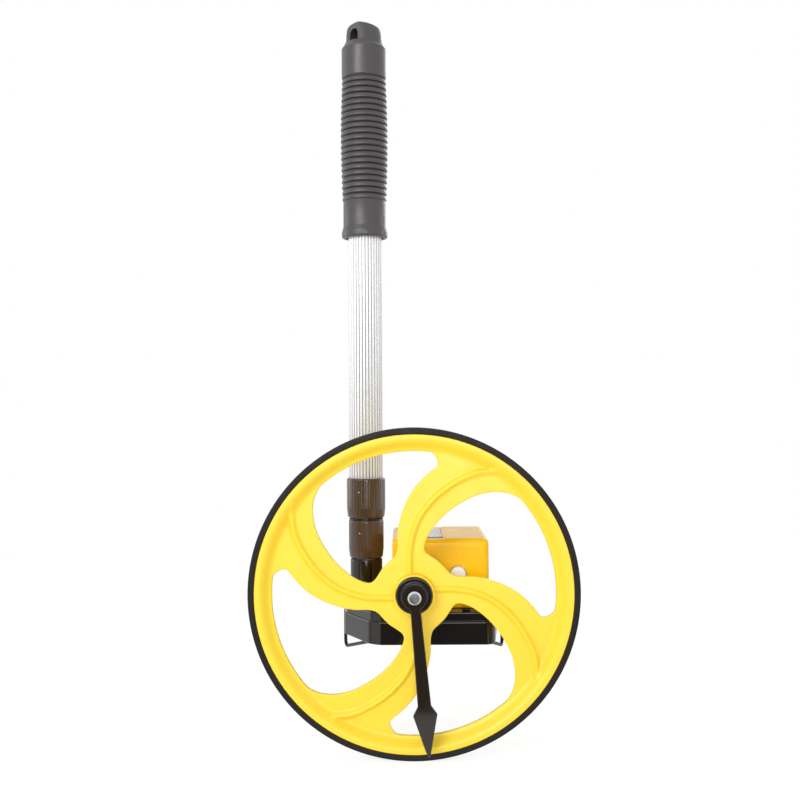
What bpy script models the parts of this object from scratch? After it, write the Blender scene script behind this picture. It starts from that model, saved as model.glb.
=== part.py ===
"""A walking measuring wheel with a geared counter, a wire stand and a telescopic pole.

World axes: X runs in the wheel's rolling direction, Y along its axle from front to back, Z up.
X is zero on the wheel's axis, Y is zero at the middle of the axle, and Z is zero under the tyre.
Depths are measured backwards from the front plane of the wheel's rim.
"""

import math

import bmesh
import bpy
from mathutils import Matrix, Vector

MM = 0.001

# Fits that every piece shares
RUNNING_GAP = 0.3 * MM
SEAT_GAP = 0.3 * MM
CUT_OVERRUN = 2 * MM
JOIN_OVERLAP = 0.6 * MM
WELD_DISTANCE = 0.01 * MM

# Wheel and tyre
TYRE_DIAMETER = 212.2 * MM
TYRE_THICKNESS = 4.4 * MM
TYRE_SIDE_INSET = 0.4 * MM
TYRE_SHOULDER_WIDTH = 1.8 * MM
TYRE_SHOULDER_DROP = 1.2 * MM
RIM_WIDTH = 14 * MM
RIM_LIP_THICKNESS = 1.6 * MM
RIM_LIP_HEIGHT = 3.5 * MM
RIM_GROOVE_DEPTH = 2 * MM
RIM_BAND_THICKNESS = 2.6 * MM
COVE_WIDTH = 6.2 * MM
OPENING_MARGIN = 1.1 * MM
WEB_DEPTH = 5 * MM
WEB_THICKNESS = 3.2 * MM
BOSS_RADIUS = 13 * MM
BOSS_HEIGHT = 8 * MM
BOSS_WALL = 1.2 * MM
BOSS_RECESS_DEPTH = 2.4 * MM
HUB_REAR_RADIUS = 11 * MM
HUB_REAR_HEIGHT = 7 * MM
RIB_WIDTH = 3.2 * MM
RIB_HEIGHT = 2.6 * MM
TYRE_SIDES = 48
SPOKE_COUNT = 4

# One opening between two spokes: shares of the opening's radius, with angles in degrees
OPENING_EDGE_SHARES = (
    (0.976, 81.0), (0.927, 79.3), (0.892, 80.2), (0.842, 83.3), (0.750, 89.0), (0.646, 94.5),
    (0.535, 100.1), (0.435, 105.3), (0.340, 110.0), (0.292, 117.5), (0.281, 129.6), (0.281, 142.0),
    (0.283, 154.5), (0.298, 163.7), (0.337, 167.4), (0.425, 165.7), (0.538, 160.8), (0.645, 155.7),
    (0.749, 150.5), (0.834, 146.1), (0.903, 141.6), (0.952, 137.7), (0.982, 134.1),
)
OPENING_RIM_ANGLES = (129.6, 84.4)
RIB_PATH_SHARES = (
    (0.138, 102.4), (0.261, 96.6), (0.375, 92.6), (0.480, 88.2), (0.585, 83.1), (0.690, 77.4),
    (0.790, 71.7), (0.880, 66.6), (0.955, 62.2), (1.010, 58.0), (1.040, 55.4),
)

# Axle, hub bush, pointer
AXLE_RADIUS = 4.3 * MM
AXLE_FRONT_REACH = 13 * MM
AXLE_CHAMFER = 1 * MM
AXLE_END_LENGTH = 1.3 * MM
BUSH_FLANGE_THICKNESS = 3.3 * MM
BUSH_FLANGE_ROUND = 0.8 * MM
BUSH_STEM_LENGTH = 3 * MM
RING_THICKNESS = 0.8 * MM
RETAINING_RING_RADIUS = 7.2 * MM
POINTER_WASHER_RADIUS = 7.8 * MM
POINTER_THICKNESS = 3 * MM
POINTER_RING_RADIUS = 8.2 * MM
POINTER_ARM_ROOT_WIDTH = 6.5 * MM
POINTER_ARM_END_WIDTH = 8.5 * MM
POINTER_NECK_RADIUS = 12.5 * MM
POINTER_HEAD_START = 68.3 * MM
POINTER_HEAD_WIDTH = 15.3 * MM
POINTER_HEAD_WIDEST = 73.8 * MM
POINTER_TIP_REACH = 100.2 * MM
POINTER_TIP_WIDTH = 1.6 * MM
POINTER_LEAN_DEGREES = 5.0
WASHER_THICKNESS = 1 * MM
WASHER_RADIUS = 8 * MM
NUT_ACROSS_CORNERS = 14.6 * MM
NUT_THICKNESS = 5 * MM

# Base tray, outlined by its walls as seen from above
BASE_LEFT = 47.2 * MM
BASE_RIGHT = 63.5 * MM
BASE_FRONT_LEFT = 27 * MM
BASE_FRONT_RIGHT = 53 * MM
BASE_FRONT_DEPTH = 20 * MM
BASE_CORNER_DEPTH = 55 * MM
BASE_BACK_DEPTH = 110 * MM
BASE_DROP = 36.57 * MM
BASE_CORNER_RADIUS = 7 * MM
LOWER_TIER_HEIGHT = 15.1 * MM
UPPER_TIER_HEIGHT = 5.8 * MM
UPPER_TIER_INSET = 1.6 * MM
BASE_WALL = 2.5 * MM
PLATE_RECESS = 3.7 * MM
PLATE_THICKNESS = 2 * MM
POST_RADIUS = 3.4 * MM
POST_INSET = 14 * MM
SCREW_SHANK_RADIUS = 1.3 * MM
SCREW_HEAD_RADIUS = 2.9 * MM
SCREW_HEAD_HEIGHT = 1.4 * MM
SCREW_LENGTH = 9 * MM
LEDGE_SCREW_INSET = 8 * MM
LEDGE_SCREW_SPACING = 33 * MM

# Counter housing
HOUSING_LEFT = 14.3 * MM
HOUSING_RIGHT = 50.9 * MM
HOUSING_FRONT_DEPTH = 36 * MM
HOUSING_HEIGHT = 46 * MM
HOUSING_WALL = 2 * MM
HOUSING_ROOF = 2.8 * MM
HOUSING_EDGE_RADIUS = 3.6 * MM
WINDOW_ZONE_DROP = 0.65 * MM
WINDOW_WIDTH = 18 * MM
WINDOW_FRONT_INSET = 0.9 * MM
WINDOW_REAR_OVERHANG = 0.4 * MM
WINDOW_LEDGE = 1 * MM
WINDOW_THICKNESS = 1.1 * MM

# Counter gears and number wheels
GEAR_MODULE = 0.75 * MM
GEAR_ADDENDUM = 0.45 * MM
GEAR_DEDENDUM = 0.7 * MM
DRIVE_TEETH = 20
DRUM_TEETH = 30
GEAR_WIDTH = 4.2 * MM
GEAR_TO_WALL = 0.8 * MM
GEAR_TO_BRACKET = 1 * MM
SLEEVE_WALL = 2.1 * MM
SLEEVE_FLANGE_RADIUS = 9.8 * MM
SLEEVE_FLANGE_THICKNESS = 2 * MM
DRUM_SIDE_ANGLE = 53.13
DRUM_SHAFT_RADIUS = 2 * MM
NUMBER_WHEEL_RADIUS = 11.4 * MM
NUMBER_WHEEL_PITCH = 10.6 * MM
NUMBER_WHEEL_HUB_RADIUS = 4.2 * MM
CARRY_GAP = 2.6 * MM
CARRY_MODULE = 0.95 * MM
CARRY_ADDENDUM = 0.45 * MM
CARRY_DEDENDUM = 0.75 * MM
CARRY_RING_TEETH = 20
PINION_TEETH = 8
PINION_SHAFT_RADIUS = 1.2 * MM
PINION_SIDE_ANGLE = -35.0
NUMBER_WHEEL_COUNT = 5
NUMBER_WHEEL_SIDES = 20
TOOTH_TIP_SHARE = 0.20
TOOTH_ROOT_SHARE = 0.46

# Bracket plates inside the housing
BRACKET_THICKNESS = 1.5 * MM
DRUM_TO_REAR_BRACKET = 2.7 * MM
REAR_BRACKET_TO_WALL = 2.7 * MM
BRACKET_HEIGHT = 38 * MM
BRACKET_SIDE_GAP = 1.5 * MM
BRACKET_FOOT_LENGTH = 7 * MM
BRACKET_CORNER_RADIUS = 6 * MM

# Reset button
BUTTON_X = 29.8 * MM
BUTTON_RISE = 7.13 * MM
BUTTON_RADIUS = 5.3 * MM
BUTTON_PROUD = 3.4 * MM
BUTTON_TRAVEL = 2 * MM
BUTTON_FLANGE_RADIUS = 6.4 * MM
BUTTON_FLANGE_THICKNESS = 1.2 * MM
BUTTON_STEM_RADIUS = 2.2 * MM
SPRING_WIRE_RADIUS = 0.3 * MM
SPRING_COIL_RADIUS = 3.1 * MM
SPRING_TURNS = 2.5
SPRING_TURN_STEPS = 10
YOKE_HEIGHT = 4 * MM
YOKE_WIDTH = 3 * MM
YOKE_FINGER_HEIGHT = 7 * MM
YOKE_FINGER_THICKNESS = 2.4 * MM
YOKE_FINGER_WIDTH = 2.6 * MM
YOKE_FINGER_CLEARANCE = 0.9 * MM
YOKE_PIN_RADIUS = 1.6 * MM

# Pole: three tubes, two collars, two collets, two guides
POLE_X = -32.3 * MM
POLE_DEPTH = 66 * MM
SOCKET_RADIUS = 11.1 * MM
SOCKET_HEIGHT = 29.4 * MM
SOCKET_FLARE_HEIGHT = 17 * MM
SOCKET_FOOT_RADIUS = 13.6 * MM
SOCKET_FLOOR_THICKNESS = 1.4 * MM
SOCKET_SCREW_DROP = 7 * MM
INNER_TUBE_RADIUS = 9 * MM
MIDDLE_TUBE_RADIUS = 10.3 * MM
OUTER_TUBE_RADIUS = 11.7 * MM
INNER_TUBE_WALL = 0.9 * MM
MIDDLE_TUBE_WALL = 1 * MM
OUTER_TUBE_WALL = 1.1 * MM
FLUTE_COUNT = 33
FLUTE_DEPTH = 0.4 * MM
FLUTE_WIDTH_SHARE = 0.45
INNER_TUBE_LENGTH = 313 * MM
TUBE_TOP_STEP = 33.7 * MM
LOWER_COLLAR_RADIUS = 12.1 * MM
LOWER_COLLAR_LENGTH = 26.8 * MM
UPPER_COLLAR_RADIUS = 13.35 * MM
UPPER_COLLAR_LENGTH = 27.7 * MM
COLLAR_SPACING = 1 * MM
COLLAR_EDGE_ROUND = 1.2 * MM
COLLAR_LIP = 1.5 * MM
COLLAR_TAPER = 0.6 * MM
COLLET_LENGTH = 8 * MM
COLLET_SLIT = 1.2 * MM
GUIDE_RIM = 1.6 * MM
GUIDE_SPIGOT_LENGTH = 9 * MM
GUIDE_BORE_SHARE = 0.6

# Grip
GRIP_END_WALL = 4.2 * MM
GRIP_FLARE_RADIUS = 15.85 * MM
GRIP_FLARE_LENGTH = 6.4 * MM
GRIP_NECK_RADIUS = 14.8 * MM
GRIP_NECK_LENGTH = 19.2 * MM
GRIP_RIB_PITCH = 4.05 * MM
GRIP_RIB_RADIUS = 15.3 * MM
GRIP_RIB_SWELL = 1.1 * MM
GRIP_RIB_DEPTH = 1 * MM
GRIP_RIB_COUNT = 22
GRIP_TOP_RADIUS = 15.5 * MM
GRIP_TOP_LENGTH = 17.5 * MM
GRIP_TONGUE_HEIGHT = 18.5 * MM
GRIP_SIDES = 18
# The tongue's outline: shares of the upper radius, and of the tongue's height
TONGUE_SHARES = (
    (0.945, 0.08), (0.85, 0.22), (0.815, 0.35), (0.77, 0.52), (0.69, 0.73), (0.53, 0.9), (0.29, 0.98),
)
EYE_TURN_DEGREES = 55.0
EYE_FLAT_DISTANCE = 8.5 * MM
EYE_WIDTH = 9 * MM
EYE_HEIGHT = 8.2 * MM
EYE_TOP_WALL = 4.4 * MM
EYE_SHELF_DROP = 0.8 * MM

# Wire stand
STAND_WIRE_RADIUS = 1.1 * MM
STAND_PIVOT_INSET = 10 * MM
STAND_PIVOT_RISE = 9.7 * MM
STAND_SIDE_GAP = 0.5 * MM
STAND_DROP = 28.6 * MM
STAND_BAR_DEPTH = 36 * MM
STAND_BAR_RISE = 0.1 * MM
STAND_BAR_LEFT = 24 * MM
STAND_BAR_RIGHT = 45 * MM
STAND_STUB_LENGTH = 3.2 * MM
CLIP_RADIUS = 2.6 * MM
CLIP_THICKNESS = 1 * MM

# Places that follow from the sizes above
WHEEL_RADIUS = TYRE_DIAMETER / 2
HALF_TYRE_SIDE = math.pi / TYRE_SIDES
AXLE_HEIGHT = WHEEL_RADIUS * math.cos(HALF_TYRE_SIDE)
RIM_RADIUS = WHEEL_RADIUS - TYRE_THICKNESS
LIP_INNER_RADIUS = RIM_RADIUS - RIM_LIP_HEIGHT
COVE_INNER_RADIUS = LIP_INNER_RADIUS - COVE_WIDTH
OPENING_RADIUS = COVE_INNER_RADIUS - OPENING_MARGIN
GROOVE_RADIUS = RIM_RADIUS - RIM_GROOVE_DEPTH
AXLE_BORE = AXLE_RADIUS + RUNNING_GAP
SLEEVE_RADIUS = AXLE_BORE + SLEEVE_WALL
HUB_BORE = SLEEVE_RADIUS + SEAT_GAP
BOSS_FRONT_DEPTH = WEB_DEPTH - BOSS_HEIGHT
HUB_REAR_DEPTH = WEB_DEPTH + WEB_THICKNESS + HUB_REAR_HEIGHT
GEAR_DEPTH = HOUSING_FRONT_DEPTH + HOUSING_WALL + GEAR_TO_WALL
FRONT_BRACKET_DEPTH = GEAR_DEPTH + GEAR_WIDTH + GEAR_TO_BRACKET
FIRST_DRUM_DEPTH = FRONT_BRACKET_DEPTH + BRACKET_THICKNESS + 2 * RUNNING_GAP
LAST_DRUM_END = FIRST_DRUM_DEPTH + NUMBER_WHEEL_COUNT * NUMBER_WHEEL_PITCH
REAR_BRACKET_DEPTH = LAST_DRUM_END + DRUM_TO_REAR_BRACKET
HOUSING_BACK_DEPTH = REAR_BRACKET_DEPTH + BRACKET_THICKNESS + REAR_BRACKET_TO_WALL + HOUSING_WALL
AXLE_END_DEPTH = HOUSING_BACK_DEPTH + 2 * SEAT_GAP + WASHER_THICKNESS + NUT_THICKNESS + AXLE_END_LENGTH
MIDDLE_DEPTH = (AXLE_END_DEPTH - AXLE_FRONT_REACH) / 2
BASE_BOTTOM_HEIGHT = AXLE_HEIGHT - BASE_DROP
BASE_TOP_HEIGHT = BASE_BOTTOM_HEIGHT + LOWER_TIER_HEIGHT + UPPER_TIER_HEIGHT
DECK_UNDERSIDE = BASE_TOP_HEIGHT - BASE_WALL
PLATE_BOTTOM = BASE_BOTTOM_HEIGHT + PLATE_RECESS
PLATE_TOP = PLATE_BOTTOM + PLATE_THICKNESS
HOUSING_BOTTOM = BASE_TOP_HEIGHT + SEAT_GAP
HOUSING_TOP = HOUSING_BOTTOM + HOUSING_HEIGHT
HOUSING_CENTRE_X = (HOUSING_RIGHT - HOUSING_LEFT) / 2
ROOF_UNDERSIDE = HOUSING_TOP - HOUSING_ROOF
DRIVE_PITCH_RADIUS = GEAR_MODULE * DRIVE_TEETH / 2
DRUM_PITCH_RADIUS = GEAR_MODULE * DRUM_TEETH / 2
DRUM_DISTANCE = DRIVE_PITCH_RADIUS + DRUM_PITCH_RADIUS
DRUM_X = DRUM_DISTANCE * math.cos(math.radians(DRUM_SIDE_ANGLE))
DRUM_HEIGHT = AXLE_HEIGHT + DRUM_DISTANCE * math.sin(math.radians(DRUM_SIDE_ANGLE))
DRUM_BORE = DRUM_SHAFT_RADIUS + RUNNING_GAP
BUTTON_HEIGHT = AXLE_HEIGHT + BUTTON_RISE
CARRY_RING_RADIUS = CARRY_MODULE * CARRY_RING_TEETH / 2
PINION_RADIUS = CARRY_MODULE * PINION_TEETH / 2
PINION_DISTANCE = CARRY_RING_RADIUS + PINION_RADIUS
PINION_X = DRUM_X + PINION_DISTANCE * math.cos(math.radians(PINION_SIDE_ANGLE))
PINION_HEIGHT = DRUM_HEIGHT + PINION_DISTANCE * math.sin(math.radians(PINION_SIDE_ANGLE))
WINDOW_SURFACE = HOUSING_TOP - WINDOW_ZONE_DROP
SOCKET_TOP_HEIGHT = BASE_TOP_HEIGHT + SOCKET_HEIGHT
LOWER_COLLAR_BOTTOM = SOCKET_TOP_HEIGHT + SEAT_GAP
UPPER_COLLAR_BOTTOM = LOWER_COLLAR_BOTTOM + LOWER_COLLAR_LENGTH + COLLAR_SPACING
INNER_TUBE_BOTTOM = BASE_TOP_HEIGHT - BASE_WALL + SOCKET_FLOOR_THICKNESS + SEAT_GAP
COLLET_LIFT = COLLAR_LIP + SEAT_GAP
MIDDLE_TUBE_BOTTOM = LOWER_COLLAR_BOTTOM + COLLET_LIFT + COLLET_LENGTH + SEAT_GAP
OUTER_TUBE_BOTTOM = UPPER_COLLAR_BOTTOM + COLLET_LIFT + COLLET_LENGTH + SEAT_GAP
MIDDLE_TUBE_TOP = INNER_TUBE_BOTTOM + INNER_TUBE_LENGTH + TUBE_TOP_STEP
MIDDLE_TUBE_LENGTH = MIDDLE_TUBE_TOP - MIDDLE_TUBE_BOTTOM
OUTER_TUBE_LENGTH = MIDDLE_TUBE_TOP + TUBE_TOP_STEP - OUTER_TUBE_BOTTOM
TONGUE_BOTTOM = OUTER_TUBE_BOTTOM + OUTER_TUBE_LENGTH + GRIP_END_WALL
GRIP_RIB_END = TONGUE_BOTTOM - GRIP_TOP_LENGTH
GRIP_RIB_START = GRIP_RIB_END - GRIP_RIB_COUNT * GRIP_RIB_PITCH
GRIP_BOTTOM_HEIGHT = GRIP_RIB_START - GRIP_NECK_LENGTH - GRIP_FLARE_LENGTH
GRIP_TOP_HEIGHT = TONGUE_BOTTOM + GRIP_TONGUE_HEIGHT
STAND_LEFT_X = -(BASE_LEFT + STAND_SIDE_GAP + STAND_WIRE_RADIUS)
STAND_RIGHT_X = BASE_RIGHT + STAND_SIDE_GAP + STAND_WIRE_RADIUS
STAND_PIVOT_DEPTH = BASE_BACK_DEPTH - STAND_PIVOT_INSET
STAND_PIVOT_HEIGHT = BASE_BOTTOM_HEIGHT + STAND_PIVOT_RISE
STAND_BAR_HEIGHT = BASE_BOTTOM_HEIGHT + STAND_BAR_RISE
RIGHT_WALL_SLOPE = (BASE_RIGHT - BASE_FRONT_RIGHT) / (BASE_BACK_DEPTH - BASE_FRONT_DEPTH)
RIGHT_WALL_AT_CLIP = BASE_RIGHT - RIGHT_WALL_SLOPE * (BASE_BACK_DEPTH - STAND_PIVOT_DEPTH + CLIP_RADIUS)

# Turning an object so that its own Z runs backwards in depth, or its own X and Y span the wheel's plane
TURN_DEPTHWISE = (-math.pi / 2, 0, 0)
TURN_UPRIGHT = (math.pi / 2, 0, 0)


def at_depth(depth):
    """The world Y of a depth behind the rim's front plane."""
    return depth - MIDDLE_DEPTH


def clear_scene():
    for old in list(bpy.data.objects):
        bpy.data.objects.remove(old, do_unlink=True)


def new_collection(name, rendered):
    collection = bpy.data.collections.new(name)
    collection.hide_render = not rendered
    bpy.context.scene.collection.children.link(collection)
    return collection


def new_material(name, color, roughness, metallic=0.0, alpha=1.0):
    material = bpy.data.materials.new(name)
    material.use_nodes = True
    shader = material.node_tree.nodes["Principled BSDF"]
    shader.inputs["Base Color"].default_value = (*color, 1)
    shader.inputs["Roughness"].default_value = roughness
    shader.inputs["Metallic"].default_value = metallic
    shader.inputs["Alpha"].default_value = alpha
    return material


clear_scene()
PARTS = new_collection("measuring_wheel", rendered=True)
CUTTERS = new_collection("cutters", rendered=False)

YELLOW_ABS = new_material("yellow_abs", (0.98, 0.75, 0.06), 0.35)
ORANGE_ABS = new_material("orange_abs", (0.99, 0.55, 0.02), 0.35)
BLACK_ABS = new_material("black_abs", (0.012, 0.011, 0.010), 0.2)
BLACK_NYLON = new_material("black_nylon", (0.02, 0.019, 0.019), 0.45)
WHITE_ACETAL = new_material("white_acetal", (0.85, 0.85, 0.83), 0.35)
RUBBER = new_material("rubber", (0.035, 0.033, 0.035), 0.7)
GRIP_RUBBER = new_material("grip_rubber", (0.12, 0.11, 0.115), 0.5)
BROWN_ABS = new_material("brown_abs", (0.105, 0.075, 0.05), 0.3)
ALUMINIUM = new_material("aluminium", (0.86, 0.86, 0.87), 0.25, metallic=1.0)
STEEL = new_material("steel", (0.5, 0.5, 0.5), 0.35, metallic=1.0)
BLACK_STEEL = new_material("black_steel", (0.03, 0.03, 0.03), 0.4, metallic=0.6)
CLEAR_ACRYLIC = new_material("clear_acrylic", (0.9, 0.9, 0.92), 0.05, alpha=0.35)


def add_object(name, data, material, location=(0, 0, 0), rotation=(0, 0, 0)):
    obj = bpy.data.objects.new(name, data)
    obj.location = location
    obj.rotation_euler = rotation
    PARTS.objects.link(obj)
    if material:
        data.materials.append(material)
    return obj


def smooth(obj, angle=math.radians(35)):
    obj.data.shade_smooth()
    obj.data.set_sharp_from_angle(angle=angle)
    return obj


def turned(name, profile, material, location, rotation=(0, 0, 0), sides=20, closed=True, turn=0.0):
    """A profile of (radius, height) points, outer side downwards, turned round the object's own Z."""
    mesh = bpy.data.meshes.new(name)
    verts = [(radius * math.cos(turn), radius * math.sin(turn), height) for radius, height in profile]
    edges = [(i, i + 1) for i in range(len(verts) - 1)]
    if closed:
        edges.append((len(verts) - 1, 0))
    mesh.from_pydata(verts, edges, [])
    obj = add_object(name, mesh, material, location, rotation)
    screw = obj.modifiers.new("turn", "SCREW")
    screw.axis = "Z"
    screw.angle = math.tau
    screw.steps = sides
    screw.render_steps = sides
    screw.use_merge_vertices = True
    screw.merge_threshold = WELD_DISTANCE
    return obj


def ring(name, inner, outer, low, high, material, location, rotation=(0, 0, 0), sides=20):
    profile = [(outer, high), (outer, low), (inner, low), (inner, high)]
    return turned(name, profile, material, location, rotation, sides)


def disc(name, radius, low, high, material, location, rotation=(0, 0, 0), sides=20):
    profile = [(0, high), (radius, high), (radius, low), (0, low)]
    return turned(name, profile, material, location, rotation, sides, closed=False)


def converted(obj):
    """The curve object as a welded mesh object in the same place."""
    bpy.context.view_layer.update()
    graph = bpy.context.evaluated_depsgraph_get()
    mesh = bpy.data.meshes.new_from_object(obj.evaluated_get(graph))
    welding = bmesh.new()
    welding.from_mesh(mesh)
    bmesh.ops.remove_doubles(welding, verts=welding.verts, dist=WELD_DISTANCE)
    bmesh.ops.recalc_face_normals(welding, faces=welding.faces)
    welding.to_mesh(mesh)
    welding.free()
    name = obj.name
    matrix = obj.matrix_world.copy()
    bpy.data.objects.remove(obj, do_unlink=True)
    solid = bpy.data.objects.new(name, mesh)
    solid.matrix_world = matrix
    PARTS.objects.link(solid)
    return solid


def flat(name, outline, thickness, material, location, rotation=(0, 0, 0), holes=()):
    """A flat outline with holes, thickened evenly to both sides of the object's own XY plane."""
    curve = bpy.data.curves.new(name, "CURVE")
    curve.dimensions = "2D"
    curve.fill_mode = "BOTH"
    curve.extrude = thickness / 2
    for points in (outline, *holes):
        spline = curve.splines.new("POLY")
        spline.points.add(len(points) - 1)
        for point, (x, y) in zip(spline.points, points):
            point.co = (x, y, 0, 1)
        spline.use_cyclic_u = True
    return converted(add_object(name, curve, material, location, rotation))


def tube_along(name, path, radius, material, location=(0, 0, 0), rotation=(0, 0, 0)):
    """A round rod along a path of points."""
    curve = bpy.data.curves.new(name, "CURVE")
    curve.dimensions = "3D"
    curve.bevel_depth = radius
    curve.bevel_resolution = 1
    curve.use_fill_caps = True
    spline = curve.splines.new("POLY")
    spline.points.add(len(path) - 1)
    for point, place in zip(spline.points, path):
        point.co = (*place, 1)
    return converted(add_object(name, curve, material, location, rotation))


def box(name, low, high, material=None, round_edges=None, radius=0.0):
    """A box between two corners in world space. round_edges picks the edges to round by their two ends."""
    size = Vector(high) - Vector(low)
    mesh = bpy.data.meshes.new(name)
    shape = bmesh.new()
    bmesh.ops.create_cube(shape, size=1)
    bmesh.ops.scale(shape, vec=size, verts=shape.verts)
    if round_edges:
        chosen = [edge for edge in shape.edges if round_edges(*(vert.co for vert in edge.verts))]
        bmesh.ops.bevel(shape, geom=chosen, offset=radius, segments=3, affect="EDGES", profile=0.5)
    shape.to_mesh(mesh)
    shape.free()
    return add_object(name, mesh, material, (Vector(low) + Vector(high)) / 2)


def boolean(obj, other, operation):
    """Cuts or joins another solid, which moves to the cutters."""
    PARTS.objects.unlink(other)
    CUTTERS.objects.link(other)
    other.hide_render = True
    other.display_type = "WIRE"
    change = obj.modifiers.new(operation.lower(), "BOOLEAN")
    change.operation = operation
    change.object = other
    change.solver = "EXACT"
    return obj


def cut(obj, *cutters):
    for cutter in cutters:
        boolean(obj, cutter, "DIFFERENCE")
    return obj


def join(obj, *others):
    for other in others:
        boolean(obj, other, "UNION")
    return obj


def polar(radius, degrees):
    return (radius * math.cos(math.radians(degrees)), radius * math.sin(math.radians(degrees)))


def arc(centre, radius, start, end, steps):
    """Points on an arc between two angles in degrees, both ends kept."""
    angles = [start + (end - start) * step / steps for step in range(steps + 1)]
    return [(centre[0] + polar(radius, a)[0], centre[1] + polar(radius, a)[1]) for a in angles]


def circle(centre, radius, sides):
    return arc(centre, radius, 0, 360 - 360 / sides, sides - 1)


def rounded_path(points, radius, steps=3, closed=False):
    """The path with each corner replaced by an arc, in two or three dimensions."""
    places = [Vector(point) for point in points]
    count = len(places)
    path = []
    for i, corner in enumerate(places):
        if not closed and i in (0, count - 1):
            path.append(tuple(corner))
            continue
        back = (places[i - 1] - corner).normalized()
        ahead = (places[(i + 1) % count] - corner).normalized()
        half = back.angle(ahead) / 2
        reach = radius / math.tan(half)
        centre = corner + (back + ahead).normalized() * (radius / math.sin(half))
        first = corner + back * reach - centre
        last = corner + ahead * reach - centre
        sweep = first.angle(last)
        for step in range(steps + 1):
            t = step / steps
            spread = first * math.sin((1 - t) * sweep) + last * math.sin(t * sweep)
            path.append(tuple(centre + spread / math.sin(sweep)))
    return path


def inset_outline(points, distance):
    """A convex outline, listed anticlockwise, with every side moved inwards."""
    places = [Vector(point) for point in points]
    moved = []
    for i, corner in enumerate(places):
        before = (corner - places[i - 1]).normalized()
        after = (places[(i + 1) % len(places)] - corner).normalized()
        inwards = Vector((-before.y, before.x)) + Vector((-after.y, after.x))
        moved.append(tuple(corner + inwards * (distance / (1 + before.dot(after)))))
    return moved


def gear_outline(teeth, pitch_radius, addendum, dedendum, turn):
    """Straight-sided teeth: one tooth is centred on the angle turn, in degrees."""
    step = 360 / teeth
    points = []
    for tooth in range(teeth):
        middle = turn + tooth * step
        points.append(polar(pitch_radius - dedendum, middle - TOOTH_ROOT_SHARE * step / 2))
        points.append(polar(pitch_radius + addendum, middle - TOOTH_TIP_SHARE * step / 2))
        points.append(polar(pitch_radius + addendum, middle + TOOTH_TIP_SHARE * step / 2))
        points.append(polar(pitch_radius - dedendum, middle + TOOTH_ROOT_SHARE * step / 2))
    return points


def gear(name, outline, bore, depth, width, material, x, height, bore_sides=16):
    """A spur gear round an axis that runs in depth, from depth backwards."""
    place = (x, at_depth(depth + width / 2), height)
    hole = circle((0, 0), bore, bore_sides) if bore else None
    return flat(name, outline, width, material, place, TURN_UPRIGHT, holes=[hole] if hole else [])


def on_axle():
    return (0, at_depth(0), AXLE_HEIGHT)


def make_tyre():
    inset, side = TYRE_SIDE_INSET, RIM_WIDTH - TYRE_SIDE_INSET
    seat = RIM_RADIUS + SEAT_GAP
    bead = GROOVE_RADIUS + SEAT_GAP
    bead_side = RIM_LIP_THICKNESS + SEAT_GAP
    shoulder = WHEEL_RADIUS - TYRE_SHOULDER_DROP
    profile = [
        (shoulder, side), (WHEEL_RADIUS, side - TYRE_SHOULDER_WIDTH),
        (WHEEL_RADIUS, inset + TYRE_SHOULDER_WIDTH), (shoulder, inset),
        (seat, inset), (seat, bead_side), (bead, bead_side),
        (bead, RIM_WIDTH - bead_side), (seat, RIM_WIDTH - bead_side), (seat, side),
    ]
    return turned("tyre", profile, RUBBER, on_axle(), TURN_DEPTHWISE, TYRE_SIDES, turn=HALF_TYRE_SIDE)


def opening_outline():
    """One spoke opening: an edge round the hub, closed by an arc under the rim."""
    edge = [polar(share * OPENING_RADIUS, angle) for share, angle in OPENING_EDGE_SHARES]
    start, end = OPENING_RIM_ANGLES
    return edge + arc((0, 0), OPENING_RADIUS, start, end, 7)


def make_wheel():
    lip, width = RIM_LIP_THICKNESS, RIM_WIDTH
    web_back = WEB_DEPTH + WEB_THICKNESS
    recess = BOSS_RADIUS - BOSS_WALL
    recess_floor = BOSS_FRONT_DEPTH + BOSS_RECESS_DEPTH
    band = GROOVE_RADIUS - RIM_BAND_THICKNESS
    cove = [(COVE_INNER_RADIUS + COVE_WIDTH * math.sin(math.radians(a)),
             WEB_DEPTH * math.cos(math.radians(a))) for a in (90, 55, 25, 0)]
    profile = [
        (RIM_RADIUS, width), (RIM_RADIUS, width - lip), (GROOVE_RADIUS, width - lip),
        (GROOVE_RADIUS, lip), (RIM_RADIUS, lip), (RIM_RADIUS, 0),
        *cove,
        (BOSS_RADIUS, WEB_DEPTH), (BOSS_RADIUS, BOSS_FRONT_DEPTH), (recess, BOSS_FRONT_DEPTH),
        (recess, recess_floor), (HUB_BORE, recess_floor), (HUB_BORE, HUB_REAR_DEPTH),
        (HUB_REAR_RADIUS, HUB_REAR_DEPTH), (HUB_REAR_RADIUS, web_back), (band, web_back), (band, width),
    ]
    wheel = turned("wheel", profile, YELLOW_ABS, on_axle(), TURN_DEPTHWISE, TYRE_SIDES, turn=HALF_TYRE_SIDE)
    cutter_length = web_back + 2 * CUT_OVERRUN
    rib_radius = RIB_WIDTH / 2
    rib_depth = WEB_DEPTH - RIB_HEIGHT + rib_radius
    path = [polar(share * OPENING_RADIUS, angle) for share, angle in RIB_PATH_SHARES]
    for spoke in range(SPOKE_COUNT):
        turn = Matrix.Rotation(math.tau * spoke / SPOKE_COUNT, 2)
        outline = [tuple(turn @ Vector(point)) for point in opening_outline()]
        place = (0, at_depth(web_back / 2), AXLE_HEIGHT)
        cut(wheel, flat(f"opening_{spoke}", outline, cutter_length, None, place, TURN_UPRIGHT))
        line = [(*(turn @ Vector(point)), 0) for point in path]
        place = (0, at_depth(rib_depth), AXLE_HEIGHT)
        join(wheel, tube_along(f"rib_{spoke}", line, rib_radius, None, place, TURN_UPRIGHT))
    return wheel


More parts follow.
